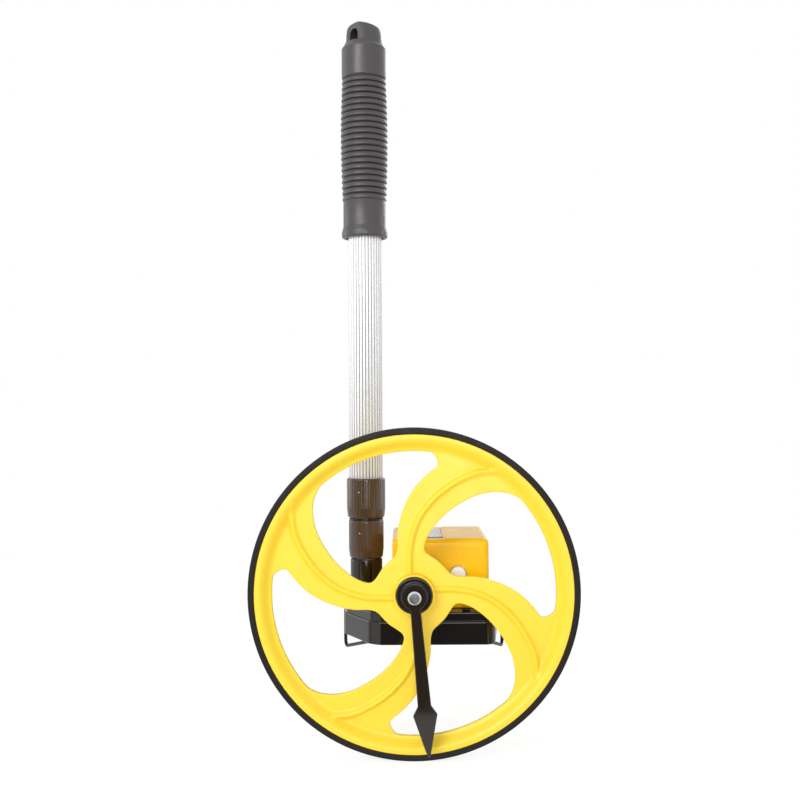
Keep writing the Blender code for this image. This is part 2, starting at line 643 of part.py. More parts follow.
def make_hub_bush():
    floor = BOSS_FRONT_DEPTH + BOSS_RECESS_DEPTH - SEAT_GAP
    front = floor - BUSH_FLANGE_THICKNESS
    rim = BOSS_RADIUS - BOSS_WALL - SEAT_GAP
    stem = HUB_BORE - SEAT_GAP
    profile = [
        (stem, floor + BUSH_STEM_LENGTH), (stem, floor), (rim, floor), (rim, front + BUSH_FLANGE_ROUND),
        (rim - BUSH_FLANGE_ROUND, front), (AXLE_BORE, front), (AXLE_BORE, floor + BUSH_STEM_LENGTH),
    ]
    turned("hub_bush", profile, BLACK_NYLON, on_axle(), TURN_DEPTHWISE)
    return front


def make_axle_end(bush_front):
    """The rings and the pointer in front of the hub bush."""
    ring_back = bush_front - SEAT_GAP
    washer_back = ring_back - RING_THICKNESS - SEAT_GAP
    pointer_back = washer_back - RING_THICKNESS - SEAT_GAP
    ring("retaining_ring", AXLE_BORE, RETAINING_RING_RADIUS, ring_back - RING_THICKNESS, ring_back,
         STEEL, on_axle(), TURN_DEPTHWISE, 16)
    ring("pointer_washer", AXLE_BORE, POINTER_WASHER_RADIUS, washer_back - RING_THICKNESS, washer_back,
         STEEL, on_axle(), TURN_DEPTHWISE, 16)
    place = (0, at_depth(pointer_back - POINTER_THICKNESS / 2), AXLE_HEIGHT)
    lean = Matrix.Rotation(math.radians(POINTER_LEAN_DEGREES), 2)
    outline = [tuple(lean @ Vector(point)) for point in pointer_outline()]
    return flat("pointer", outline, POINTER_THICKNESS, BLACK_ABS, place, TURN_UPRIGHT,
                holes=[circle((0, 0), AXLE_BORE, 24)])


def pointer_outline():
    """The needle seen from the front, hanging straight down: ring, widening arm, pointed head."""
    half_root = POINTER_ARM_ROOT_WIDTH / 2
    neck_share = (half_root + POINTER_NECK_RADIUS - POINTER_RING_RADIUS) / POINTER_NECK_RADIUS
    join_angle = math.degrees(math.asin(neck_share))
    head = arc((0, 0), POINTER_RING_RADIUS, -90 + join_angle, 270 - join_angle, 20)
    side = [
        (-half_root, -POINTER_NECK_RADIUS), (-POINTER_ARM_END_WIDTH / 2, -POINTER_HEAD_START),
        (-POINTER_HEAD_WIDTH / 2, -POINTER_HEAD_WIDEST), (-POINTER_TIP_WIDTH / 2, -POINTER_TIP_REACH),
    ]
    return head + side + [(-x, y) for x, y in reversed(side)]


def make_axle():
    low, high = -AXLE_FRONT_REACH, AXLE_END_DEPTH
    tip = AXLE_RADIUS - AXLE_CHAMFER
    profile = [(0, high), (tip, high), (AXLE_RADIUS, high - AXLE_CHAMFER),
               (AXLE_RADIUS, low + AXLE_CHAMFER), (tip, low), (0, low)]
    turned("axle", profile, STEEL, on_axle(), TURN_DEPTHWISE, 24, closed=False)
    washer = HOUSING_BACK_DEPTH + SEAT_GAP
    ring("axle_washer", AXLE_BORE, WASHER_RADIUS, washer, washer + WASHER_THICKNESS, STEEL,
         on_axle(), TURN_DEPTHWISE)
    nut = washer + WASHER_THICKNESS + SEAT_GAP
    flat("axle_nut", circle((0, 0), NUT_ACROSS_CORNERS / 2, 6), NUT_THICKNESS, STEEL,
         (0, at_depth(nut + NUT_THICKNESS / 2), AXLE_HEIGHT), TURN_UPRIGHT,
         holes=[circle((0, 0), AXLE_BORE, 24)])


def make_drive_gear():
    start = BOSS_FRONT_DEPTH + BOSS_RECESS_DEPTH - SEAT_GAP + BUSH_STEM_LENGTH + SEAT_GAP
    flange = HUB_REAR_DEPTH + SEAT_GAP
    profile = [
        (SLEEVE_RADIUS, GEAR_DEPTH + JOIN_OVERLAP), (SLEEVE_RADIUS, flange + SLEEVE_FLANGE_THICKNESS),
        (SLEEVE_FLANGE_RADIUS, flange + SLEEVE_FLANGE_THICKNESS), (SLEEVE_FLANGE_RADIUS, flange),
        (SLEEVE_RADIUS, flange), (SLEEVE_RADIUS, start), (AXLE_BORE, start),
        (AXLE_BORE, GEAR_DEPTH + JOIN_OVERLAP),
    ]
    sleeve = turned("drive_gear", profile, BLACK_NYLON, on_axle(), TURN_DEPTHWISE, 24)
    outline = gear_outline(DRIVE_TEETH, DRIVE_PITCH_RADIUS, GEAR_ADDENDUM, GEAR_DEDENDUM, DRUM_SIDE_ANGLE)
    join(sleeve, gear("drive_teeth", outline, AXLE_BORE, GEAR_DEPTH, GEAR_WIDTH, None, 0, AXLE_HEIGHT, 24))


def base_outline(inset):
    """The base from above as (X, Y), anticlockwise."""
    corners = [
        (-BASE_FRONT_LEFT, at_depth(BASE_FRONT_DEPTH)), (BASE_FRONT_RIGHT, at_depth(BASE_FRONT_DEPTH)),
        (BASE_RIGHT, at_depth(BASE_BACK_DEPTH)), (-BASE_LEFT, at_depth(BASE_BACK_DEPTH)),
        (-BASE_LEFT, at_depth(BASE_CORNER_DEPTH)),
    ]
    return rounded_path(inset_outline(corners, inset), BASE_CORNER_RADIUS - inset, closed=True)


def slab(name, inset, low, high, material=None):
    return flat(name, base_outline(inset), high - low, material, (0, 0, (low + high) / 2))


def plate_screw_places():
    y = at_depth(BASE_BACK_DEPTH - POST_INSET)
    return {"left": (-BASE_LEFT + POST_INSET, y), "right": (BASE_RIGHT - POST_INSET - UPPER_TIER_INSET, y)}


def ledge_screw_places():
    y = at_depth(BASE_FRONT_DEPTH + LEDGE_SCREW_INSET)
    return {"left": (HOUSING_CENTRE_X - LEDGE_SCREW_SPACING / 2, y),
            "right": (HOUSING_CENTRE_X + LEDGE_SCREW_SPACING / 2, y)}


def stand_hole(name, radius):
    """A cutter along the stand's pivot axis, through both side walls."""
    low = STAND_LEFT_X - CUT_OVERRUN
    high = STAND_RIGHT_X + CUT_OVERRUN
    place = (0, at_depth(STAND_PIVOT_DEPTH), STAND_PIVOT_HEIGHT)
    return disc(name, radius, low, high, None, place, (0, math.pi / 2, 0), 12)


def socket_screw_height():
    return SOCKET_TOP_HEIGHT - SOCKET_SCREW_DROP


def make_base_tray():
    tray = slab("base_tray", 0, BASE_BOTTOM_HEIGHT, BASE_BOTTOM_HEIGHT + LOWER_TIER_HEIGHT, BLACK_ABS)
    tier_low = BASE_BOTTOM_HEIGHT + LOWER_TIER_HEIGHT - JOIN_OVERLAP
    join(tray, slab("upper_tier", UPPER_TIER_INSET, tier_low, BASE_TOP_HEIGHT))
    hollow_low = BASE_BOTTOM_HEIGHT - CUT_OVERRUN
    cut(tray, slab("tray_hollow", UPPER_TIER_INSET + BASE_WALL, hollow_low, DECK_UNDERSIDE))
    pole = (POLE_X, at_depth(POLE_DEPTH), 0)
    profile = [
        (0, SOCKET_TOP_HEIGHT), (SOCKET_RADIUS, SOCKET_TOP_HEIGHT),
        (SOCKET_RADIUS, BASE_TOP_HEIGHT + SOCKET_FLARE_HEIGHT),
        (SOCKET_FOOT_RADIUS, BASE_TOP_HEIGHT + SOCKET_FLARE_HEIGHT / 3),
        (SOCKET_FOOT_RADIUS, BASE_TOP_HEIGHT - JOIN_OVERLAP), (0, BASE_TOP_HEIGHT - JOIN_OVERLAP),
    ]
    join(tray, turned("socket", profile, None, pole, closed=False))
    bore_floor = INNER_TUBE_BOTTOM - SEAT_GAP
    bore_top = SOCKET_TOP_HEIGHT + CUT_OVERRUN
    cut(tray, disc("socket_bore", INNER_TUBE_RADIUS + SEAT_GAP, bore_floor, bore_top, None, pole))
    screw_hole = SCREW_SHANK_RADIUS + SEAT_GAP
    for side, (x, y) in plate_screw_places().items():
        post = PLATE_TOP + SEAT_GAP, DECK_UNDERSIDE + JOIN_OVERLAP
        join(tray, disc(f"post_{side}", POST_RADIUS, *post, None, (x, y, 0), sides=16))
        pilot = PLATE_TOP, PLATE_BOTTOM + SCREW_LENGTH + SEAT_GAP
        cut(tray, disc(f"pilot_{side}", screw_hole, *pilot, None, (x, y, 0), sides=12))
    for side, (x, y) in ledge_screw_places().items():
        hole = DECK_UNDERSIDE - CUT_OVERRUN, BASE_TOP_HEIGHT + CUT_OVERRUN
        cut(tray, disc(f"ledge_hole_{side}", screw_hole, *hole, None, (x, y, 0), sides=12))
    cut(tray, stand_hole("stand_holes", STAND_WIRE_RADIUS + RUNNING_GAP))
    cut(tray, socket_screw_hole("socket_screw_hole"))


def socket_screw_hole(name):
    """A cutter backwards from the pole's axis, through the rear of socket and tube."""
    place = (POLE_X, at_depth(POLE_DEPTH), socket_screw_height())
    reach = SOCKET_RADIUS + CUT_OVERRUN
    return disc(name, SCREW_SHANK_RADIUS + SEAT_GAP, 0, reach, None, place, TURN_DEPTHWISE, 12)


def make_base_plate():
    inset = UPPER_TIER_INSET + BASE_WALL + SEAT_GAP
    plate = slab("base_plate", inset, PLATE_BOTTOM, PLATE_TOP, BLACK_ABS)
    screw_hole = SCREW_SHANK_RADIUS + SEAT_GAP
    hole = PLATE_BOTTOM - CUT_OVERRUN, PLATE_TOP + CUT_OVERRUN
    for side, (x, y) in plate_screw_places().items():
        cut(plate, disc(f"plate_hole_{side}", screw_hole, *hole, None, (x, y, 0), sides=12))
    post = PLATE_TOP - JOIN_OVERLAP, DECK_UNDERSIDE - SEAT_GAP
    pilot = BASE_TOP_HEIGHT - SCREW_LENGTH, DECK_UNDERSIDE + CUT_OVERRUN
    for side, (x, y) in ledge_screw_places().items():
        join(plate, disc(f"plate_post_{side}", POST_RADIUS, *post, None, (x, y, 0), sides=16))
        cut(plate, disc(f"plate_pilot_{side}", screw_hole, *pilot, None, (x, y, 0), sides=12))


def screw(name, place, rotation, length):
    """A pan-head screw along its own Z: the head is above zero, and the shank below."""
    profile = [
        (0, SEAT_GAP + SCREW_HEAD_HEIGHT), (SCREW_HEAD_RADIUS / 2, SEAT_GAP + SCREW_HEAD_HEIGHT),
        (SCREW_HEAD_RADIUS, SEAT_GAP + SCREW_HEAD_HEIGHT / 2), (SCREW_HEAD_RADIUS, SEAT_GAP),
        (SCREW_SHANK_RADIUS, SEAT_GAP), (SCREW_SHANK_RADIUS, SEAT_GAP - length), (0, SEAT_GAP - length),
    ]
    return turned(name, profile, STEEL, place, rotation, 16, closed=False)


def make_screws():
    length = SCREW_LENGTH - SEAT_GAP
    for side, (x, y) in plate_screw_places().items():
        screw(f"plate_screw_{side}", (x, y, PLATE_BOTTOM), (math.pi, 0, 0), length)
    for side, (x, y) in ledge_screw_places().items():
        screw(f"ledge_screw_{side}", (x, y, BASE_TOP_HEIGHT), (0, 0, 0), length)
    back = (POLE_X, at_depth(POLE_DEPTH) + SOCKET_RADIUS, socket_screw_height())
    screw("socket_screw", back, TURN_DEPTHWISE, SOCKET_RADIUS / 2)


def make_housing():
    low = (-HOUSING_LEFT, at_depth(HOUSING_FRONT_DEPTH), HOUSING_BOTTOM)
    high = (HOUSING_RIGHT, at_depth(HOUSING_BACK_DEPTH), HOUSING_TOP)

    def top_or_upright(a, b):
        return a.z + b.z > 0 or abs(a.z - b.z) > HOUSING_WALL

    housing = box("counter_housing", low, high, ORANGE_ABS, top_or_upright, HOUSING_EDGE_RADIUS)
    wall = HOUSING_WALL
    inner_low = (low[0] + wall, low[1] + wall, low[2] - CUT_OVERRUN)
    inner_high = (high[0] - wall, high[1] - wall, ROOF_UNDERSIDE)
    cut(housing, box("housing_hollow", inner_low, inner_high))
    window_right = DRUM_X + WINDOW_WIDTH / 2
    window_left = DRUM_X - WINDOW_WIDTH / 2
    zone_low = (low[0] - CUT_OVERRUN, low[1] - CUT_OVERRUN, WINDOW_SURFACE)
    zone_high = (window_right + WINDOW_LEDGE, high[1] + CUT_OVERRUN, HOUSING_TOP + CUT_OVERRUN)
    cut(housing, box("window_zone", zone_low, zone_high))
    rebate = WINDOW_THICKNESS + SEAT_GAP
    start = at_depth(FIRST_DRUM_DEPTH + WINDOW_FRONT_INSET)
    end = at_depth(LAST_DRUM_END + WINDOW_REAR_OVERHANG)
    cut(housing, box("window_rebate", (window_left, start, WINDOW_SURFACE - rebate),
                     (window_right, end, WINDOW_SURFACE + CUT_OVERRUN)))
    ledge = WINDOW_LEDGE
    cut(housing, box("window_hole", (window_left + ledge, start + ledge, ROOF_UNDERSIDE - CUT_OVERRUN),
                     (window_right - ledge, end - ledge, WINDOW_SURFACE)))
    gap = SEAT_GAP
    box("counter_window", (window_left + gap, start + gap, WINDOW_SURFACE - WINDOW_THICKNESS),
        (window_right - gap, end - gap, WINDOW_SURFACE), CLEAR_ACRYLIC)
    sleeve_hole = DRIVE_PITCH_RADIUS + GEAR_ADDENDUM + 2 * RUNNING_GAP
    front_hole = HOUSING_FRONT_DEPTH - CUT_OVERRUN, HOUSING_FRONT_DEPTH + HOUSING_WALL + CUT_OVERRUN
    cut(housing, disc("sleeve_hole", sleeve_hole, *front_hole, None, on_axle(), TURN_DEPTHWISE))
    button_place = (BUTTON_X, at_depth(0), BUTTON_HEIGHT)
    button_hole = BUTTON_RADIUS + RUNNING_GAP
    cut(housing, disc("button_hole", button_hole, *front_hole, None, button_place, TURN_DEPTHWISE))
    back_hole = HOUSING_BACK_DEPTH - HOUSING_WALL - CUT_OVERRUN, HOUSING_BACK_DEPTH + CUT_OVERRUN
    cut(housing, disc("axle_hole", AXLE_BORE, *back_hole, None, on_axle(), TURN_DEPTHWISE, 24))


def make_brackets():
    left = -HOUSING_LEFT + HOUSING_WALL + BRACKET_SIDE_GAP
    right = HOUSING_RIGHT - HOUSING_WALL - BRACKET_SIDE_GAP
    bottom = BASE_TOP_HEIGHT + SEAT_GAP
    top = bottom + BRACKET_HEIGHT
    corner = BRACKET_CORNER_RADIUS
    outline = [(left, bottom), (right, bottom)]
    outline += arc((right - corner, top - corner), corner, 0, 90, 4)
    outline += arc((left + corner, top - corner), corner, 90, 180, 4)
    shared = [
        circle((0, AXLE_HEIGHT), AXLE_BORE, 16), circle((DRUM_X, DRUM_HEIGHT), DRUM_BORE, 12),
        circle((PINION_X, PINION_HEIGHT), PINION_SHAFT_RADIUS + SEAT_GAP, 8),
    ]
    button = (BUTTON_X, BUTTON_HEIGHT)
    holes = {"front": BUTTON_STEM_RADIUS, "rear": YOKE_PIN_RADIUS}
    for side, depth in (("front", FRONT_BRACKET_DEPTH), ("rear", REAR_BRACKET_DEPTH)):
        place = (0, at_depth(depth + BRACKET_THICKNESS / 2), 0)
        plate = flat(f"{side}_bracket", outline, BRACKET_THICKNESS, STEEL, place, TURN_UPRIGHT,
                     holes=[*shared, circle(button, holes[side] + RUNNING_GAP, 12)])
        foot = at_depth(depth)
        foot_back = foot + BRACKET_FOOT_LENGTH
        if side == "rear":
            foot, foot_back = foot + BRACKET_THICKNESS - BRACKET_FOOT_LENGTH, foot + BRACKET_THICKNESS
        join(plate, box(f"{side}_foot", (left + BRACKET_SIDE_GAP, foot, bottom),
                        (right - BRACKET_SIDE_GAP, foot_back, bottom + BRACKET_THICKNESS)))


def drum_axis():
    return (DRUM_X, at_depth(0), DRUM_HEIGHT)


def make_drum_drive():
    shaft_end = REAR_BRACKET_DEPTH + BRACKET_THICKNESS + RUNNING_GAP
    turn = 180 + DRUM_SIDE_ANGLE + 180 / DRUM_TEETH
    outline = gear_outline(DRUM_TEETH, DRUM_PITCH_RADIUS, GEAR_ADDENDUM, GEAR_DEDENDUM, turn)
    gear("drum_gear", outline, DRUM_SHAFT_RADIUS + SEAT_GAP, GEAR_DEPTH, GEAR_WIDTH, BLACK_NYLON,
         DRUM_X, DRUM_HEIGHT)
    disc("drum_shaft", DRUM_SHAFT_RADIUS, GEAR_DEPTH, shaft_end, STEEL, drum_axis(), TURN_DEPTHWISE, 16)
    disc("pinion_shaft", PINION_SHAFT_RADIUS, FRONT_BRACKET_DEPTH, shaft_end - RUNNING_GAP, STEEL,
         (PINION_X, at_depth(0), PINION_HEIGHT), TURN_DEPTHWISE, 12)


def make_number_wheels():
    """Five wheels on one shaft. Each but the first has a toothed ring on its front that its pinion turns."""
    for number in range(NUMBER_WHEEL_COUNT):
        depth = FIRST_DRUM_DEPTH + number * NUMBER_WHEEL_PITCH
        rim_front = depth + CARRY_GAP
        back = depth + NUMBER_WHEEL_PITCH - RUNNING_GAP
        name = f"number_wheel_{number + 1}"
        if number == 0:
            profile = [
                (NUMBER_WHEEL_RADIUS, back), (NUMBER_WHEEL_RADIUS, rim_front),
                (NUMBER_WHEEL_HUB_RADIUS, rim_front), (NUMBER_WHEEL_HUB_RADIUS, depth),
                (DRUM_BORE, depth), (DRUM_BORE, back),
            ]
            turned(name, profile, WHITE_ACETAL, drum_axis(), TURN_DEPTHWISE, NUMBER_WHEEL_SIDES)
        else:
            wheel = ring(name, DRUM_BORE, NUMBER_WHEEL_RADIUS, rim_front, back, WHITE_ACETAL, drum_axis(),
                         TURN_DEPTHWISE, NUMBER_WHEEL_SIDES)
            turn = PINION_SIDE_ANGLE
            outline = gear_outline(CARRY_RING_TEETH, CARRY_RING_RADIUS, CARRY_ADDENDUM, CARRY_DEDENDUM, turn)
            ring_width = CARRY_GAP + JOIN_OVERLAP
            join(wheel, gear(f"carry_ring_{number}", outline, DRUM_BORE, depth, ring_width, None,
                             DRUM_X, DRUM_HEIGHT, NUMBER_WHEEL_SIDES))


def make_carry_pinions():
    turn = 180 + PINION_SIDE_ANGLE + 180 / PINION_TEETH
    outline = gear_outline(PINION_TEETH, PINION_RADIUS, CARRY_ADDENDUM, CARRY_DEDENDUM, turn)
    for number in range(1, NUMBER_WHEEL_COUNT):
        depth = FIRST_DRUM_DEPTH + number * NUMBER_WHEEL_PITCH + RUNNING_GAP
        width = CARRY_GAP - 2 * RUNNING_GAP
        gear(f"carry_pinion_{number}", outline, PINION_SHAFT_RADIUS + RUNNING_GAP, depth, width,
             BLACK_NYLON, PINION_X, PINION_HEIGHT, 8)


def make_reset_button():
    axis = (BUTTON_X, at_depth(0), BUTTON_HEIGHT)
    front = HOUSING_FRONT_DEPTH - BUTTON_PROUD
    flange = HOUSING_FRONT_DEPTH + HOUSING_WALL + SEAT_GAP
    flange_back = flange + BUTTON_FLANGE_THICKNESS
    yoke = FRONT_BRACKET_DEPTH + BRACKET_THICKNESS + RUNNING_GAP
    edge = BUTTON_FLANGE_THICKNESS / 2
    profile = [
        (0, yoke), (BUTTON_STEM_RADIUS, yoke), (BUTTON_STEM_RADIUS, flange_back),
        (BUTTON_FLANGE_RADIUS, flange_back), (BUTTON_FLANGE_RADIUS, flange), (BUTTON_RADIUS, flange),
        (BUTTON_RADIUS, front + edge), (BUTTON_RADIUS - edge, front), (0, front),
    ]
    turned("reset_button", profile, WHITE_ACETAL, axis, TURN_DEPTHWISE, 24, closed=False)
    make_reset_spring(flange_back)
    make_reset_yoke(yoke + SEAT_GAP)


def make_reset_spring(flange_back):
    """One unbroken coil between the button's flange and the front bracket."""
    start = flange_back + SPRING_WIRE_RADIUS + SEAT_GAP
    end = FRONT_BRACKET_DEPTH - SPRING_WIRE_RADIUS - SEAT_GAP
    steps = round(SPRING_TURNS * SPRING_TURN_STEPS)
    path = [(*polar(SPRING_COIL_RADIUS, 360 * step / SPRING_TURN_STEPS), start + (end - start) * step / steps)
            for step in range(steps + 1)]
    place = (BUTTON_X, at_depth(0), BUTTON_HEIGHT)
    tube_along("reset_spring", path, SPRING_WIRE_RADIUS, STEEL, place, TURN_DEPTHWISE)


def make_reset_yoke(start):
    """The bar behind the button, with one finger in front of each number wheel's rim."""
    low_x = BUTTON_X - YOKE_WIDTH / 2
    high_x = BUTTON_X + YOKE_WIDTH / 2
    end = REAR_BRACKET_DEPTH - BUTTON_TRAVEL - RUNNING_GAP
    low = (low_x, at_depth(start), BUTTON_HEIGHT - YOKE_HEIGHT / 2)
    high = (high_x, at_depth(end), BUTTON_HEIGHT + YOKE_HEIGHT / 2)
    yoke = box("reset_yoke", low, high, STEEL)
    finger_low = BUTTON_HEIGHT + YOKE_HEIGHT / 2 - JOIN_OVERLAP
    finger_top = finger_low + YOKE_FINGER_HEIGHT
    reach = DRUM_X + NUMBER_WHEEL_RADIUS + YOKE_FINGER_CLEARANCE
    for number in range(NUMBER_WHEEL_COUNT):
        middle = at_depth(FIRST_DRUM_DEPTH + number * NUMBER_WHEEL_PITCH + CARRY_GAP + YOKE_FINGER_WIDTH)
        near, far = middle - YOKE_FINGER_WIDTH / 2, middle + YOKE_FINGER_WIDTH / 2
        join(yoke, box(f"yoke_leg_{number}", (low_x, near, finger_low), (high_x, far, finger_top)))
        tip_low = finger_top - YOKE_FINGER_THICKNESS
        join(yoke, box(f"yoke_tip_{number}", (reach, near, tip_low), (low_x + JOIN_OVERLAP, far, finger_top)))
    axis = (BUTTON_X, at_depth(0), BUTTON_HEIGHT)
    pin = end - JOIN_OVERLAP, REAR_BRACKET_DEPTH + BRACKET_THICKNESS / 2
    join(yoke, disc("yoke_pin", YOKE_PIN_RADIUS, *pin, None, axis, TURN_DEPTHWISE, 16))


def pole_axis(height=0.0):
    return (POLE_X, at_depth(POLE_DEPTH), height)


def plain_tube(name, radius, wall, length, bottom):
    return ring(name, radius - wall, radius, bottom, bottom + length, ALUMINIUM, pole_axis())


def fluted_tube(name, radius, wall, length, bottom):
    """A drawn tube whose outside carries even flutes."""
    step = 360 / FLUTE_COUNT
    outline = []
    for flute in range(FLUTE_COUNT):
        start = flute * step
        land = step * (1 - FLUTE_WIDTH_SHARE)
        outline += [polar(radius, start), polar(radius, start + land),
                    polar(radius - FLUTE_DEPTH, start + land + step * FLUTE_WIDTH_SHARE / 2)]
    place = pole_axis(bottom + length / 2)
    return flat(name, outline, length, ALUMINIUM, place, holes=[circle((0, 0), radius - wall, 24)])


def make_tubes():
    inner = plain_tube("inner_tube", INNER_TUBE_RADIUS, INNER_TUBE_WALL, INNER_TUBE_LENGTH, INNER_TUBE_BOTTOM)
    cut(inner, socket_screw_hole("tube_screw_hole"))
    plain_tube("middle_tube", MIDDLE_TUBE_RADIUS, MIDDLE_TUBE_WALL, MIDDLE_TUBE_LENGTH, MIDDLE_TUBE_BOTTOM)
    fluted_tube("outer_tube", OUTER_TUBE_RADIUS, OUTER_TUBE_WALL, OUTER_TUBE_LENGTH, OUTER_TUBE_BOTTOM)


def guide(name, tube_radius, tube_wall, tube_top):
    """A plastic cap in a tube's top that slides in the next tube."""
    spigot = tube_radius - tube_wall - SEAT_GAP
    rim = tube_top + SEAT_GAP
    bore = spigot * GUIDE_BORE_SHARE
    profile = [
        (tube_radius, rim + GUIDE_RIM), (tube_radius, rim), (spigot, rim),
        (spigot, rim - GUIDE_SPIGOT_LENGTH), (bore, rim - GUIDE_SPIGOT_LENGTH), (bore, rim + GUIDE_RIM),
    ]
    return turned(name, profile, BLACK_NYLON, pole_axis(), sides=16)


def collar(name, radius, length, bottom, inner_tube_radius, outer_tube_radius):
    """A twist collar: it turns on the upper tube, and its lip closes round the lower tube."""
    top = bottom + length
    bore = outer_tube_radius + RUNNING_GAP
    lip = inner_tube_radius + RUNNING_GAP
    edge = COLLAR_EDGE_ROUND
    profile = [
        (radius - edge / 2, top), (radius, top - edge), (radius, bottom + length / 4),
        (radius - COLLAR_TAPER, bottom + edge), (radius - COLLAR_TAPER - edge, bottom), (lip, bottom),
        (lip, bottom + COLLAR_LIP), (bore, bottom + COLLAR_LIP), (bore, top),
    ]
    return turned(name, profile, BROWN_ABS, pole_axis())


def collet(name, bottom, inner_tube_radius, outer_tube_radius):
    """A split ring that the collar squeezes on the lower tube."""
    low = bottom + COLLET_LIFT
    inner = inner_tube_radius + RUNNING_GAP
    high = low + COLLET_LENGTH
    shape = ring(name, inner, outer_tube_radius, low, high, WHITE_ACETAL, pole_axis(), sides=16)
    x, y, _ = pole_axis()
    half = COLLET_SLIT / 2
    return cut(shape, box(f"{name}_slit", (x - half, y, low - CUT_OVERRUN),
                          (x + half, y + 2 * outer_tube_radius, high + CUT_OVERRUN)))


def make_pole_fittings():
    guide("lower_guide", INNER_TUBE_RADIUS, INNER_TUBE_WALL, INNER_TUBE_BOTTOM + INNER_TUBE_LENGTH)
    guide("upper_guide", MIDDLE_TUBE_RADIUS, MIDDLE_TUBE_WALL, MIDDLE_TUBE_BOTTOM + MIDDLE_TUBE_LENGTH)
    collar("lower_collar", LOWER_COLLAR_RADIUS, LOWER_COLLAR_LENGTH, LOWER_COLLAR_BOTTOM,
           INNER_TUBE_RADIUS, MIDDLE_TUBE_RADIUS)
    collar("upper_collar", UPPER_COLLAR_RADIUS, UPPER_COLLAR_LENGTH, UPPER_COLLAR_BOTTOM,
           MIDDLE_TUBE_RADIUS, OUTER_TUBE_RADIUS)
    collet("lower_collet", LOWER_COLLAR_BOTTOM, INNER_TUBE_RADIUS, MIDDLE_TUBE_RADIUS)
    collet("upper_collet", UPPER_COLLAR_BOTTOM, MIDDLE_TUBE_RADIUS, OUTER_TUBE_RADIUS)


def grip_profile():
    """The grip's outer side from the top down, then its bore."""
    outer = [(0, GRIP_TOP_HEIGHT)]
    for radius, height in reversed(TONGUE_SHARES):
        outer.append((radius * GRIP_TOP_RADIUS, TONGUE_BOTTOM + height * GRIP_TONGUE_HEIGHT))
    outer += [(GRIP_TOP_RADIUS, TONGUE_BOTTOM), (GRIP_TOP_RADIUS, GRIP_RIB_END)]
    for rib in range(GRIP_RIB_COUNT):
        top = GRIP_RIB_END - rib * GRIP_RIB_PITCH
        swell = GRIP_RIB_SWELL * math.sin(math.pi * (rib + 0.5) / GRIP_RIB_COUNT)
        crest = GRIP_RIB_RADIUS + swell
        outer += [(crest - GRIP_RIB_DEPTH, top - GRIP_RIB_PITCH / 6), (crest, top - GRIP_RIB_PITCH / 2)]
    neck_top = GRIP_RIB_START
    flare_top = GRIP_BOTTOM_HEIGHT + GRIP_FLARE_LENGTH
    outer += [
        (GRIP_NECK_RADIUS, neck_top), (GRIP_NECK_RADIUS, flare_top + GRIP_FLARE_LENGTH / 4),
        (GRIP_FLARE_RADIUS, flare_top), (GRIP_FLARE_RADIUS, GRIP_BOTTOM_HEIGHT),
    ]
    bore = OUTER_TUBE_RADIUS + SEAT_GAP
    bore_top = OUTER_TUBE_BOTTOM + OUTER_TUBE_LENGTH + SEAT_GAP
    return outer + [(bore, GRIP_BOTTOM_HEIGHT), (bore, bore_top), (0, bore_top)]


def eye_turn():
    """The eye's axis turns from the photographed front towards the left."""
    return (math.pi / 2, 0, -math.radians(EYE_TURN_DEGREES))


def make_grip():
    grip = turned("grip", grip_profile(), GRIP_RUBBER, pole_axis(), sides=GRIP_SIDES, closed=False)
    eye_top = GRIP_TOP_HEIGHT - EYE_TOP_WALL
    eye_bottom = eye_top - EYE_HEIGHT
    half = EYE_WIDTH / 2
    arch = [(-half, 0), (half, 0)] + arc((0, EYE_HEIGHT - half), half, 0, 180, 10)
    length = 2 * GRIP_TOP_RADIUS + 2 * CUT_OVERRUN
    cut(grip, flat("eye_hole", arch, length, None, pole_axis(eye_bottom), eye_turn()))
    shelf = eye_bottom - EYE_SHELF_DROP
    high = GRIP_TOP_HEIGHT - shelf + CUT_OVERRUN
    wide = GRIP_TOP_RADIUS + CUT_OVERRUN
    deep = GRIP_TOP_RADIUS - EYE_FLAT_DISTANCE + CUT_OVERRUN
    outline = [(-wide, 0), (wide, 0), (wide, high), (-wide, high)]
    turn = Matrix.Rotation(-math.radians(EYE_TURN_DEGREES), 3, "Z")
    away = turn @ Vector((0, EYE_FLAT_DISTANCE + deep / 2, 0))
    for side in (-1, 1):
        place = Vector(pole_axis(shelf)) + side * away
        cut(grip, flat(f"eye_flat_{side + 1}", outline, deep, None, place, eye_turn()))


